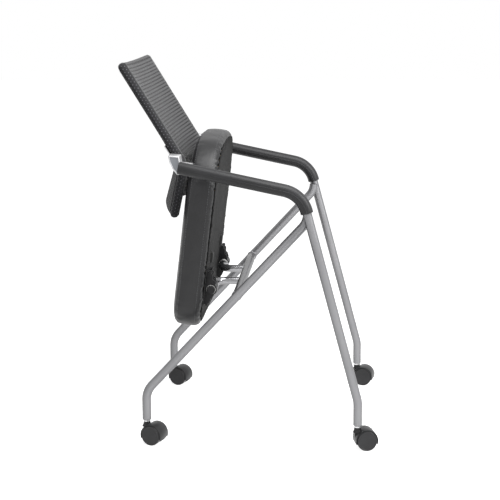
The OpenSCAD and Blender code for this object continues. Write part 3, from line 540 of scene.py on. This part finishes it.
def outward(bm, towards):
    """Turns an open sheet so that its faces look away from a point inside."""
    total = sum((f.calc_center_median() - towards).dot(f.normal) * f.calc_area() for f in bm.faces)
    if total < 0:
        bmesh.ops.reverse_faces(bm, faces=bm.faces)


def finish_cloth(bm, name, body, material, wall):
    mesh = bpy.data.meshes.new(name)
    bm.normal_update()
    bm.to_mesh(mesh)
    bm.free()
    mesh.materials.append(material)
    mesh.shade_smooth()
    piece = bpy.data.objects.new(name, mesh)
    bpy.context.scene.collection.objects.link(piece)
    thicken(piece, wall)
    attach(piece, body)
    return piece


inside = back_point(back_len / 2, 0.0, -0.035)
bm = cloth_grid(48, 300, front_place)
scale_uv(bm, 2 * face_half, cloth_len)
bm.normal_update()
outward(bm, inside)
front_cover = finish_cloth(bm, "back_front_cover", "frame", ribbed_cloth, skin_t)
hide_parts("back_front_knit", "back_top_band", "back_bottom_band")


def rear_place(a, b):
    y = (2 * a - 1) * (face_half - 0.0003)
    t = edge_turn + b * front_len
    rib = max(math.cos(math.pi * ((b * front_len / rib_pitch) % 1.0 - 0.5)), 0.0) ** 0.5 - 0.72
    edge = min(1.0, (1 - abs(2 * a - 1)) / 0.03)
    return back_point(t, y, rear_out(t, y) - 0.0009 * rib * edge)


bm = cloth_grid(40, 300, rear_place)
scale_uv(bm, 2 * face_half, front_len)
bm.normal_update()
outward(bm, inside)
rear_cover = finish_cloth(bm, "back_rear_cloth", "frame", shaded_rear_cloth, skin_t)
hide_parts("back_rear_cover")

# The band's section, from the front seam round the side to the rear seam, as shares of its
# width outward and of the back's depth.
band_path = ((0.0, 0.0), (0.34, 0.05), (0.7, 0.2), (0.93, 0.42), (1.0, 0.62), (0.93, 0.82),
             (0.7, 0.95), (0.36, 1.02), (0.0, 1.0))


def along_path(path, share):
    """A smooth point at a share of a path's points."""
    place = share * (len(path) - 1)
    k = min(int(place), len(path) - 2)
    f = place - k
    p0, p1 = path[max(k - 1, 0)], path[k]
    p2, p3 = path[k + 1], path[min(k + 2, len(path) - 1)]
    return tuple(0.5 * (2 * b + (c - a) * f + (2 * a - 5 * b + 4 * c - d) * f * f
                        + (3 * b - a - 3 * c + d) * f ** 3) for a, b, c, d in zip(p0, p1, p2, p3))


def band_place(side):
    def place(a, b):
        t = b * back_len
        near = min(t, back_len - t)
        grow = 1.0
        if near < edge_turn:
            q = near / edge_turn
            grow = 0.3 + 0.7 * math.sqrt(max(0.0, 1 - (1 - q) ** 2))
        out, deep = along_path(band_path, a)
        bump = 0.0004 * math.cos(math.tau * t / 0.0088) * math.sin(math.pi * a)
        depth = back_t + skin_t
        y = face_half + (band_w * out) * grow + bump * out
        n = -depth * (0.5 + (deep - 0.5) * grow)
        return back_point(t, side * y, n)
    return place


# Painted highlight: the seam thread is coloured light grey against the black band.
seam_highlight = grained("seam_highlight", (0.16, 0.16, 0.165), (0.24, 0.24, 0.245), 0.6, scale=3000.0,
                      patch=400.0, depth=0.0001)
for side, word in ((-1, "right"), (1, "left")):
    bm = cloth_grid(28, 240, band_place(side))
    scale_uv(bm, 0.041, back_len)
    bm.normal_update()
    outward(bm, back_point(back_len / 2, side * (face_half - 0.002), -0.010))
    band = finish_cloth(bm, "back_side_band_" + word, "frame", band_cloth, skin_t)
    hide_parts("back_band_" + word)
    # The sewn seam: a fine cord of thread laid along the front edge of the band, coloured light
    # grey as a painted highlight.
    bm = bmesh.new()
    steps = 90
    start = back_point(edge_turn * 0.5, side * face_half, 0.0002)
    ring = bmesh.ops.create_circle(bm, cap_ends=True, radius=0.0006, segments=8,
                                   matrix=Matrix.Translation(start))["verts"]
    face = [f for f in bm.faces]
    at = start
    for k in range(1, steps + 1):
        t = edge_turn * 0.5 + (back_len - edge_turn) * k / steps
        new = back_point(t, side * face_half, 0.0002)
        made = bmesh.ops.extrude_face_region(bm, geom=face)["geom"]
        face = [f for f in made if isinstance(f, bmesh.types.BMFace)]
        bmesh.ops.translate(bm, verts=verts_of(made), vec=new - at)
        at = new
    finish_piece(bm, "back_seam_" + word, "frame", seam_highlight)



# Back brackets. Each is one casting between the arm tube and the back: a three-cornered
# gusset with a raised rim beside the sleeve's end, and a flat finger screwed up the back's
# rear edge. It is coated silver, and its rim and the finger are coloured light as a painted
# highlight.

cast_coat = grained("cast_coat", (0.20, 0.21, 0.23), (0.26, 0.27, 0.29), 0.36,
                    metallic=0.6, scale=500.0, patch=30.0, depth=0.00005)
# Painted highlight: the rims and the fingers are coloured far lighter than the cast face.
rim_highlight = grained("rim_highlight", (0.60, 0.60, 0.61), (0.72, 0.72, 0.73), 0.30,
                     metallic=0.6, scale=600.0, patch=40.0, depth=0.00003)
gusset_side = ((-0.199, 0.7215), (-0.1715, 0.7190), (-0.1690, 0.7010), (-0.1425, 0.6980),
               (-0.1425, 0.6810), (-0.1600, 0.6760), (-0.1760, 0.6745), (-0.1880, 0.6880),
               (-0.1955, 0.7040))
gusset_near = 0.2300
gusset_far = 0.2780
for side, word in ((-1, "right"), (1, "left")):
    bm = bmesh.new()
    corner_verts = [bm.verts.new(Vector((x, side * gusset_near, z)) + shift)
                    for x, z in gusset_side]
    start = bm.faces.new(corner_verts)
    made = bmesh.ops.extrude_face_region(bm, geom=[start])["geom"]
    bmesh.ops.translate(bm, verts=verts_of(made),
                        vec=(0, side * (gusset_far - gusset_near), 0))
    outer = [f for f in made if isinstance(f, bmesh.types.BMFace)]
    bmesh.ops.recalc_face_normals(bm, faces=bm.faces)
    bmesh.ops.bevel(bm, geom=list(bm.edges), offset=0.0016, segments=3, profile=0.5,
                    affect="EDGES", material=-1)
    outer = [max(bm.faces, key=lambda f: side * f.calc_center_median().y * (f.calc_area() > 1e-4))]
    bmesh.ops.inset_region(bm, faces=outer, thickness=0.0012, use_even_offset=True)
    bmesh.ops.inset_region(bm, faces=outer, thickness=0.0008, use_even_offset=True, depth=-0.0016)
    # All faces but the sunk outer face take the second colour, the painted highlight.
    for f in bm.faces:
        f.material_index = 1
    outer[0].material_index = 0
    piece = finish_piece(bm, "back_gusset_" + word, "frame", cast_coat, smooth=50.0)
    piece.data.materials.append(rim_highlight)
    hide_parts("back_bracket_" + word)
    bm = bmesh.new()
    bmesh.ops.create_grid(bm, x_segments=6, y_segments=16, size=0.5)
    for v in bm.verts:
        across, along = v.co.x + 0.5, v.co.y + 0.5
        narrow = 1 - 0.45 * max(0.0, (along - 0.75) / 0.25) ** 2
        v.co = back_point(0.140 + 0.064 * along, side * (0.2285 - 0.030 * narrow * across),
                          rear_out(0.150, 0.206) - 0.0004)
    bmesh.ops.recalc_face_normals(bm, faces=bm.faces)
    bmesh.ops.solidify(bm, geom=list(bm.faces), thickness=0.0026)
    for v in bm.verts:
        v.co += Vector((-0.0015, 0, -0.0006))
    # The finger is coloured with the painted highlight.
    finish_piece(bm, "back_finger_" + word, "frame", rim_highlight, smooth=50.0)


# Seat cushion. Foam on a plywood board, covered in black leather: a boxing strip round the
# side, joined to the crowned sitting face by a double-stitched seam, and turned under the
# board, where a black cloth covers its edge.

pivot = Vector((-0.106, 0.0, 0.3753574)) + shift
seat_turn = Matrix.Translation(pivot) @ Matrix.Rotation(math.radians(-83), 4, "Y")
seat_front = 0.375
seat_rear = 0.100
seat_w = 0.474
base_h = 0.0165
side_h = 0.062
seam_h = base_h + side_h

leather, tree, shader = new_material("black_hide")
shader.inputs["Specular IOR Level"].default_value = 0.45
shader.inputs["Coat Weight"].default_value = 0.05
shader.inputs["Coat Roughness"].default_value = 0.35
place = tree.nodes.new("ShaderNodeTexCoord")
pebble = tree.nodes.new("ShaderNodeTexVoronoi")
pebble.feature = "SMOOTH_F1"
pebble.inputs["Scale"].default_value = 620.0
pebble.inputs["Smoothness"].default_value = 0.35
tree.links.new(place.outputs["Object"], pebble.inputs["Vector"])
crease = tree.nodes.new("ShaderNodeTexNoise")
crease.inputs["Scale"].default_value = 26.0
crease.inputs["Detail"].default_value = 5.0
crease.inputs["Distortion"].default_value = 1.4
tree.links.new(place.outputs["Object"], crease.inputs["Vector"])
tree.links.new(ramp(tree, crease.outputs["Fac"], [(0.3, (0.0035, 0.0035, 0.0042)),
                                                  (0.7, (0.0070, 0.0071, 0.0082))]),
               shader.inputs["Base Color"])
tree.links.new(spread(tree, crease.outputs["Fac"], 0.34, 0.52), shader.inputs["Roughness"])
creased = relief(tree, crease.outputs["Fac"], 0.0012, 0.6)
tree.links.new(relief(tree, pebble.outputs["Distance"], 0.00012, under=creased),
               shader.inputs["Normal"])


front_corner = 0.110
rear_corner = 0.060
front_bow = 0.030
plan_mid = (seat_front - seat_rear) / 2


def seat_plan(bm, height, grow=0.0):
    """The seat's outline as one face at a height: round corners and a bowed front edge."""
    made = bmesh.ops.create_grid(bm, x_segments=1, y_segments=1, size=1.0)["verts"]
    for v in made:
        v.co = Vector((seat_front + grow if v.co.x > 0 else -seat_rear - grow,
                       (seat_w / 2 + grow) * (1 if v.co.y > 0 else -1), height))
    for ahead, radius in ((True, front_corner), (False, rear_corner)):
        corners = [v for v in bm.verts if (v.co.x > plan_mid) == ahead]
        corners = [v for v in corners if abs(abs(v.co.y) - seat_w / 2 - grow) < 1e-6
                   and min(abs(v.co.x - seat_front - grow), abs(v.co.x + seat_rear + grow)) < 1e-6]
        bmesh.ops.bevel(bm, geom=corners, offset=radius + grow, segments=14, profile=0.5,
                        affect="VERTICES", material=-1)
    spans = [e for e in bm.edges if e.calc_length() > 0.05]
    bmesh.ops.subdivide_edges(bm, edges=spans, cuts=7)
    for v in bm.verts:
        if v.co.x > plan_mid:
            v.co.x -= front_bow * (v.co.y / (seat_w / 2)) ** 2
    return list(bm.faces)


bm = bmesh.new()
face = seat_plan(bm, base_h, -0.0015)
made = bmesh.ops.extrude_face_region(bm, geom=face)["geom"]
bmesh.ops.translate(bm, verts=verts_of(made), vec=(0, 0, side_h - 0.001))
top = [f for f in made if isinstance(f, bmesh.types.BMFace)]
for inward, rise in ((0.004, 0.0030), (0.010, 0.0035), (0.014, 0.0025), (0.020, 0.0015)):
    bmesh.ops.inset_region(bm, faces=top, thickness=inward, use_even_offset=True, use_boundary=True)
    bmesh.ops.translate(bm, verts=list({v for f in top for v in f.verts}), vec=(0, 0, rise))
bmesh.ops.recalc_face_normals(bm, faces=bm.faces)
rim = [e for e in bm.edges if all(abs(v.co.z - base_h) < 1e-5 for v in e.verts)
       and e.calc_face_angle(0.0) > 1.0]
bmesh.ops.bevel(bm, geom=rim, offset=0.011, segments=4, profile=0.5, affect="EDGES", material=-1)
mesh = bpy.data.meshes.new("seat_leather")
bm.to_mesh(mesh)
bm.free()
cushion = bpy.data.objects.new("seat_leather", mesh)
bpy.context.scene.collection.objects.link(cushion)


def apply_modifiers(piece):
    """Puts what the modifiers make into the piece's own mesh."""
    shape = piece.evaluated_get(bpy.context.evaluated_depsgraph_get())
    new = bpy.data.meshes.new_from_object(shape)
    old = piece.data
    piece.modifiers.clear()
    piece.data = new
    bpy.data.meshes.remove(old)


voxels = cushion.modifiers.new("even", "REMESH")
voxels.mode = "VOXEL"
voxels.voxel_size = 0.005
even = cushion.modifiers.new("even_out", "SMOOTH")
even.iterations = 10
even.factor = 0.5
apply_modifiers(cushion)

# The cover is inflated a little against its seams, with the underside held by the board.
before = [v.co.copy() for v in cushion.data.vertices]
held = cushion.vertex_groups.new(name="held")
for v in cushion.data.vertices:
    low_share = min(max((base_h + 0.014 - v.co.z) / 0.012, 0.0), 1.0)
    near_seam = math.exp(-((v.co.z - seam_h) / 0.007) ** 2)
    held.add([v.index], max(low_share, 0.75 * near_seam), "REPLACE")
cloth = cushion.modifiers.new("swell", "CLOTH")
cloth.settings.quality = 4
cloth.settings.use_pressure = True
cloth.settings.uniform_pressure_force = 4.0
cloth.settings.effector_weights.gravity = 0.0
cloth.settings.vertex_group_mass = "held"
cloth.settings.tension_stiffness = 30.0
cloth.settings.compression_stiffness = 20.0
cloth.settings.bending_stiffness = 2.0
cloth.point_cache.frame_start = 1
cloth.point_cache.frame_end = 20
for k in range(1, 21):
    bpy.context.scene.frame_set(k)
apply_modifiers(cushion)
bpy.context.scene.frame_set(1)
cap = 0.005
for v, was in zip(cushion.data.vertices, before):
    moved = v.co - was
    if moved.length > cap:
        v.co = was + moved * (cap / moved.length)
finer = cushion.modifiers.new("finer", "SUBSURF")
finer.levels = finer.render_levels = 1
apply_modifiers(cushion)


def plan_inset(p):
    """How far a place lies inside the seat's outline, round corners counted."""
    ahead = p.x > plan_mid
    radius = front_corner if ahead else rear_corner
    bow = front_bow * (p.y / (seat_w / 2)) ** 2
    x_room = (seat_front - bow - p.x) if ahead else p.x + seat_rear
    y_room = seat_w / 2 - abs(p.y)
    if x_room < radius and y_room < radius:
        return radius - math.hypot(radius - x_room, radius - y_room)
    return min(x_room, y_room)


# The crown, the soft broad creases of the hide, the pleats where it is gathered under the
# board and the sunk seam line are worked into the swollen shape, level and still unflipped.
outward_ways = [v.normal.copy() for v in cushion.data.vertices]
for v, out in zip(cushion.data.vertices, outward_ways):
    p = v.co.copy()
    inset = plan_inset(p)
    turn = math.atan2(p.y, p.x - plan_mid)
    over = max(0.0, min((p.z - seam_h) / 0.012, 1.0))
    if over > 0:
        p.z += over * 0.0030 * (1 - (1 - min(max(inset, 0.0) / 0.18, 1.0)) ** 3)
    up_side = min(max((p.z - base_h) / side_h, 0.0), 1.0)
    if inset < 0.012:
        p += Vector((out.x, out.y, 0.0)) * 0.0022 * math.sin(math.pi * up_side)
    corner_share = math.exp(-((abs(abs(turn) - 0.75) / 0.35) ** 2)) \
        + math.exp(-((abs(abs(turn) - 2.25) / 0.30) ** 2))
    edge = math.exp(-(max(inset, 0.0) / 0.05) ** 2)
    crease_at = noise.noise(Vector((p.x * 14, p.y * 14, p.z * 26))) \
        + 0.5 * noise.noise(Vector((p.x * 40, p.y * 30, p.z * 50)))
    lift = 0.0010 * crease_at * (0.3 + 0.7 * edge) * min(max((p.z - base_h) / 0.02, 0.0), 1.0)
    pucker = noise.noise(Vector((turn * 34, 3.1, p.z * 8)))
    by_seam = math.exp(-((p.z - seam_h + 0.006) / 0.012) ** 2) if inset < 0.03 else 0.0
    under = math.exp(-((p.z - base_h) / 0.007) ** 2) * (1.0 if inset < 0.035 else 0.0)
    lift += pucker * (0.0006 * by_seam + 0.0026 * under) * (0.45 + corner_share)
    sunk = math.exp(-((p.z - seam_h) / 0.0024) ** 2) * (1.0 if inset < 0.012 else 0.0)
    v.co = p + out * lift - Vector((out.x, out.y, 0.0)) * 0.0018 * sunk
cushion.data.transform(seat_turn)
cushion.data.materials.append(leather)
cushion.data.shade_smooth()
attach(cushion, "seat")
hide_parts("seat_cushion")


# Seam of the seat. A row of thread stitches runs above and below the seam, and a third one
# above the cushion's lower edge.

thread = grained("dark_thread", (0.075, 0.075, 0.08), (0.14, 0.14, 0.15), 0.45, scale=4000.0,
                 patch=500.0, depth=0.0001)
surface = BVHTree.FromPolygons([v.co.copy() for v in cushion.data.vertices],
                               [tuple(p.vertices) for p in cushion.data.polygons])
outline_bm = bmesh.new()
seat_plan(outline_bm, 0.0)
outline = []
loop = outline_bm.faces[:][0].loops[0]
for _ in range(len(outline_bm.verts)):
    outline.append(loop.vert.co.copy())
    loop = loop.link_loop_next
outline_bm.free()


def walk(points, pitch):
    """Places at an even pitch along a closed outline, with the way it runs there."""
    total = sum((points[(k + 1) % len(points)] - p).length for k, p in enumerate(points))
    count = round(total / pitch)
    pitch = total / count
    k, into = 0, 0.0
    for _ in range(count):
        step = points[(k + 1) % len(points)] - points[k]
        while into > step.length:
            into -= step.length
            k = (k + 1) % len(points)
            step = points[(k + 1) % len(points)] - points[k]
        yield points[k] + step.normalized() * into, step.normalized()
        into += pitch


def on_hide(point, way, height):
    """Where the leather's side lies at a place of the outline, in world places."""
    out = Vector((way.y, -way.x, 0.0))
    if out.dot(point - Vector((0.13, 0, 0))) < 0:
        out = -out
    source = seat_turn @ (Vector((point.x, point.y, height)) + out * 0.03)
    ray = (seat_turn.to_3x3() @ -out).normalized()
    hit, normal, _, _ = surface.ray_cast(source, ray, 0.08)
    return (hit, normal, -ray) if hit else (source + ray * 0.03, -ray, -ray)


bm = bmesh.new()
dash = bmesh.new()
bmesh.ops.create_uvsphere(dash, u_segments=8, v_segments=6, radius=1.0)
dash_mesh = bpy.data.meshes.new("dash")
dash.to_mesh(dash_mesh)
dash.free()
for height in (seam_h - 0.0042, seam_h + 0.0040, base_h + 0.0135):
    for point, way in walk(outline, 0.0062):
        hit, normal, out = on_hide(point, way, height)
        along = (seat_turn.to_3x3() @ way).normalized()
        side_way = along.cross(normal).normalized()
        basis = Matrix((along, side_way, normal)).transposed().to_4x4()
        size = Matrix.Diagonal((0.0021, 0.0005, 0.0005, 1.0))
        bm.from_mesh(dash_mesh)
        fresh = [v for v in bm.verts if not v.tag]
        bmesh.ops.transform(bm, matrix=Matrix.Translation(hit + normal * 0.0002) @ basis @ size,
                            verts=fresh)
        for v in fresh:
            v.tag = True
bpy.data.meshes.remove(dash_mesh)
finish_piece(bm, "seat_stitches", "seat", thread, smooth=80.0)

under_cloth = grained("under_cloth", (0.006, 0.006, 0.006), (0.011, 0.011, 0.011), 0.85,
                      scale=60.0, patch=70.0, depth=0.0025, gloss=0.2)
ply = grained("raw_ply", (0.42, 0.28, 0.15), (0.55, 0.40, 0.24), 0.7, scale=240.0, patch=30.0,
              depth=0.0001)
nylon = grained("white_nylon", (0.72, 0.72, 0.70), (0.80, 0.80, 0.78), 0.4, scale=1500.0)
pad_rubber = grained("pad_rubber", (0.014, 0.014, 0.014), (0.024, 0.024, 0.024), 0.75,
                     scale=1200.0, depth=0.0001)


def seat_sheet(name, low, thick, inset, material, node, pleat=0.0):
    """A flat layer inside the seat's outline; its lower face can be gathered at the rim."""
    bm = bmesh.new()
    face = seat_plan(bm, low, -inset)
    for e in [e for e in bm.edges if e.calc_length() > 0.007]:
        bmesh.ops.subdivide_edges(bm, edges=[e], cuts=int(e.calc_length() / 0.0045))
    over = bmesh.ops.extrude_face_region(bm, geom=face)["geom"]
    bmesh.ops.translate(bm, verts=verts_of(over), vec=(0, 0, thick))
    lower = [f for f in bm.faces if all(abs(v.co.z - low) < 1e-6 for v in f.verts)]
    if pleat:
        for inward in (0.002, 0.005, 0.007, 0.010):
            bmesh.ops.inset_region(bm, faces=lower, thickness=inward, use_even_offset=True,
                                   use_boundary=True)
        for v in bm.verts:
            inward = plan_inset(v.co) - inset
            if abs(v.co.z - low) < 1e-6 and 0.0005 < inward < 0.02:
                turn = math.atan2(v.co.y, v.co.x - plan_mid)
                v.co.z += pleat * noise.noise(Vector((turn * 30, 7.7, inward * 40))) - 0.2 * pleat
    bmesh.ops.transform(bm, matrix=seat_turn, verts=bm.verts)
    piece = finish_piece(bm, name, "seat", material, smooth=50.0)
    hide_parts(node)


under_h = 0.015
cover_t = 0.0015
board_t = 0.012
seat_sheet("seat_cover_cloth", under_h, cover_t, 0.014, under_cloth,
           "seat_under_cover", pleat=0.0022)
seat_sheet("seat_ply_board", base_h, board_t, 0.020, ply, "seat_board")
dress(nylon, "pivot_bush_left", "pivot_bush_right")
dress(pad_rubber, "seat_rest_pads")
dress(black_moulding, "seat_bracket_left", "seat_bracket_right")
dress(bright_plate, "seat_bracket_screws")


# Casters. Each has a moulded nylon hood over twin wheels on a steel axle, and a steel stem
# that turns in the socket of the leg tube.

wheel_r = 0.025
trail = 0.020
hood_r = 0.0278
hood_wall = 0.002
hood_w = 0.044
web = 0.010
# The hood is painted darker than the wheels as painted shade on its unlit rim, and the wheels
# lighter as a painted highlight on their faces.
caster_nylon = grained("caster_nylon", (0.010, 0.010, 0.011), (0.017, 0.017, 0.018), 0.38,
                       scale=1300.0, patch=25.0, depth=0.00006, gloss=0.3)
wheel_nylon_lit = grained("wheel_nylon_lit", (0.022, 0.022, 0.023), (0.032, 0.032, 0.034), 0.34,
                      scale=1100.0, patch=40.0, depth=0.00005, gloss=0.3)
corners = {"front_left": (foot_x, arm_y, -12.0), "front_right": (foot_x, -arm_y, 12.0),
           "rear_left": (-foot_x, rear_y, -20.0), "rear_right": (-foot_x, -rear_y, -20.0)}


def lathe(bm, profile, steps, closed=False):
    """Spins a profile of (radius, height) points about the Z axis."""
    points = [bm.verts.new((r, 0.0, z)) for r, z in profile]
    pairs = list(zip(points, points[1:])) + ([(points[-1], points[0])] if closed else [])
    edges = [bm.edges.new(pair) for pair in pairs]
    bmesh.ops.spin(bm, geom=points + edges, cent=(0, 0, 0), axis=(0, 0, 1), dvec=(0, 0, 0),
                   angle=math.tau, steps=steps, use_merge=True, use_duplicate=False)


wheel_profile = ((0.00305, 0.0), (0.0205, 0.0), (0.0225, 0.0006), (0.0241, 0.0013),
                 (0.0248, 0.0026), (0.0250, 0.0042), (0.0250, 0.0144), (0.0248, 0.0158),
                 (0.0242, 0.0169), (0.0232, 0.0175), (0.0224, 0.0175), (0.0218, 0.0172),
                 (0.0213, 0.0168), (0.0190, 0.0167), (0.0100, 0.0165), (0.0, 0.0165))
for corner, (x, y, turn) in corners.items():
    stand = (Matrix.Translation(Vector((x, y, 0)) + shift)
             @ Matrix.Rotation(math.radians(turn), 4, "Z"))
    axle = stand @ Matrix.Translation((trail, 0, wheel_r))
    for way, word in ((1 if y > 0 else -1, "outer"), (-1 if y > 0 else 1, "inner")):
        bm = bmesh.new()
        lathe(bm, wheel_profile + ((0.0, 0.0145), (0.00305, 0.0145)), 72, closed=True)
        bmesh.ops.transform(bm, verts=bm.verts, matrix=axle
                            @ Matrix.Translation((0, way * (web / 2 + 0.0008), 0))
                            @ Matrix.Rotation(math.radians(-90 * way), 4, "X"))
        piece = finish_piece(bm, f"caster_wheel_{word}_{corner}", f"wheel_{word}_{corner}",
                             wheel_nylon_lit, smooth=30.0)
        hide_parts(f"wheel_{word}_{corner}")
    # Hood: a drum with rounded edges, a web between the wheels and a neck under the tube.
    bm = bmesh.new()
    half = hood_w / 2
    section = [(0.008, -web / 2), (hood_r - hood_wall, -web / 2), (hood_r - hood_wall, -half),
               (hood_r - 0.0012, -half), (hood_r - 0.00035, -half + 0.00035),
               (hood_r, -half + 0.0012), (hood_r, half - 0.0012),
               (hood_r - 0.00035, half - 0.00035), (hood_r - 0.0012, half),
               (hood_r - hood_wall, half), (hood_r - hood_wall, web / 2), (0.008, web / 2)]
    points = [bm.verts.new((r, 0.0, w)) for r, w in section]
    edges = [bm.edges.new(pair) for pair in zip(points, points[1:] + points[:1])]
    made = bmesh.ops.spin(bm, geom=points + edges, cent=(0, 0, 0), axis=(0, 0, 1),
                          dvec=(0, 0, 0), angle=math.radians(216), steps=44, use_merge=False,
                          use_duplicate=False)["geom_last"]
    bmesh.ops.contextual_create(bm, geom=edges)
    bmesh.ops.contextual_create(bm, geom=edges_of(made))
    bmesh.ops.transform(bm, verts=bm.verts, matrix=axle @ Matrix.Rotation(math.radians(90), 4, "X")
                        @ Matrix.Rotation(math.radians(-18), 4, "Z"))
    for v in bm.verts:
        v.tag = True
    hub = bmesh.ops.create_cone(bm, cap_ends=True, segments=48, radius1=0.009, radius2=0.009,
                                depth=web + 0.0008)["verts"]
    bmesh.ops.transform(bm, verts=hub, matrix=axle @ Matrix.Rotation(math.radians(90), 4, "X"))
    neck = [(0.0085, 0.0560), (0.0086, 0.0530), (0.0090, 0.0500), (0.0098, 0.0475),
            (0.0112, 0.0450), (0.0120, 0.0430)]
    before = set(bm.verts)
    lathe(bm, [(0.0056, 0.0420), (0.0056, 0.0560)] + neck, 48, closed=True)
    fresh = [v for v in bm.verts if v not in before]
    for v in fresh:
        # The neck's foot follows the drum, so that it grows out of it.
        ahead = v.co.x - trail
        top = wheel_r + math.sqrt(max(0.0, (hood_r - 0.001) ** 2 - ahead ** 2))
        if v.co.z < 0.0505:
            v.co.z = min(max(v.co.z, top if abs(ahead) < hood_r - 0.001 else v.co.z), 0.052)
    bmesh.ops.transform(bm, verts=fresh, matrix=stand)
    spine = bmesh.ops.create_cube(bm, size=1.0)["verts"]
    bmesh.ops.transform(bm, verts=spine, matrix=stand @ Matrix.Translation((0.0, 0, 0.0385))
                        @ Matrix.Diagonal((0.0160, 0.0090, 0.0270, 1.0)))
    round_off = list({e for v in spine for e in v.link_edges})
    bmesh.ops.bevel(bm, geom=round_off, offset=0.0012, segments=2, profile=0.5, affect="EDGES",
                    material=-1)
    piece = finish_piece(bm, "caster_hood_" + corner, "caster_" + corner, caster_nylon,
                         smooth=32.0)
    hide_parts("caster_body_" + corner)
    dress(bright_plate, "caster_stem_" + corner, "caster_axle_" + corner)


# Studio. A white floor takes a faint shadow, inside a white surround with three soft lamps;
# the floor and the surround are white to the camera and to what is reflected.

def seen_rays(tree):
    """1 for rays from the camera, mirrored or through glass, 0 for the object's light."""
    rays = tree.nodes.new("ShaderNodeLightPath")
    seen = rays.outputs["Is Camera Ray"]
    for kind in ("Is Glossy Ray", "Is Transmission Ray"):
        either = tree.nodes.new("ShaderNodeMath")
        either.operation = "MAXIMUM"
        tree.links.new(seen, either.inputs[0])
        tree.links.new(rays.outputs[kind], either.inputs[1])
        seen = either.outputs[0]
    return seen


floor_bm = bmesh.new()
bmesh.ops.create_grid(floor_bm, x_segments=1, y_segments=1, size=14.0)
floor_mesh = bpy.data.meshes.new("studio_floor")
floor_bm.to_mesh(floor_mesh)
floor_bm.free()
floor = bpy.data.objects.new("studio_floor", floor_mesh)
bpy.context.scene.collection.objects.link(floor)
paint, tree, shader = new_material("studio_white")
shader.inputs["Base Color"].default_value = (0.62, 0.62, 0.62, 1.0)
shader.inputs["Roughness"].default_value = 1.0
shader.inputs["Specular IOR Level"].default_value = 0.0
glow = tree.nodes.new("ShaderNodeMath")
glow.operation = "MULTIPLY"
glow.inputs[1].default_value = 0.90
tree.links.new(seen_rays(tree), glow.inputs[0])
shader.inputs["Emission Color"].default_value = (1.0, 1.0, 1.0, 1.0)
tree.links.new(glow.outputs[0], shader.inputs["Emission Strength"])
floor_mesh.materials.append(paint)

world = bpy.data.worlds.new("studio")
bpy.context.scene.world = world
world.use_nodes = True
tree = world.node_tree
sky = tree.nodes["Background"]
tree.links.new(spread(tree, seen_rays(tree), 0.24, 1.0), sky.inputs["Strength"])
sky.inputs["Color"].default_value = (1.0, 1.0, 1.0, 1.0)


def lamp(name, place, aim, size, power):
    data = bpy.data.lights.new(name, "AREA")
    data.shape = "RECTANGLE"
    data.size, data.size_y = size
    data.energy = power
    lamp_object = bpy.data.objects.new(name, data)
    lamp_object.location = place
    lamp_object.rotation_euler = (Vector(aim) - Vector(place)).to_track_quat("-Z", "Y").to_euler()
    bpy.context.scene.collection.objects.link(lamp_object)


lamp("top_soft", (0.7, -0.9, 3.0), (0.0, 0.0, 0.5), (2.2, 1.8), 82.0)
lamp("camera_left", (-2.4, -2.8, 1.7), (0.0, 0.0, 0.5), (1.4, 1.6), 7.0)
lamp("front_right", (2.5, -1.0, 2.0), (0.0, 0.0, 0.5), (0.8, 1.6), 62.0)

# The camera stands where the photograph's stood, seen from a chair in the middle of its row.
pitch, yaw, roll = (math.radians(a) for a in (10.51, 4.19, -0.30))
forward = Vector((-math.sin(yaw) * math.cos(pitch), math.cos(yaw) * math.cos(pitch),
                  -math.sin(pitch)))
right = Vector((math.cos(yaw), math.sin(yaw), 0.0))
up = right.cross(forward)
right, up = (math.cos(roll) * right + math.sin(roll) * up,
             math.cos(roll) * up - math.sin(roll) * right)
view = Matrix((right, up, -forward)).transposed().to_4x4()
view.translation = Vector((0.242, -3.603, 1.111)) + shift
eye = bpy.data.cameras.new("photo_camera")
eye.sensor_width = 36.0
eye.lens = 1400.0 / 500.0 * 36.0
eye_object = bpy.data.objects.new("photo_camera", eye)
eye_object.matrix_world = view
bpy.context.scene.collection.objects.link(eye_object)
bpy.context.scene.camera = eye_object
bpy.context.scene.view_settings.view_transform = "Standard"
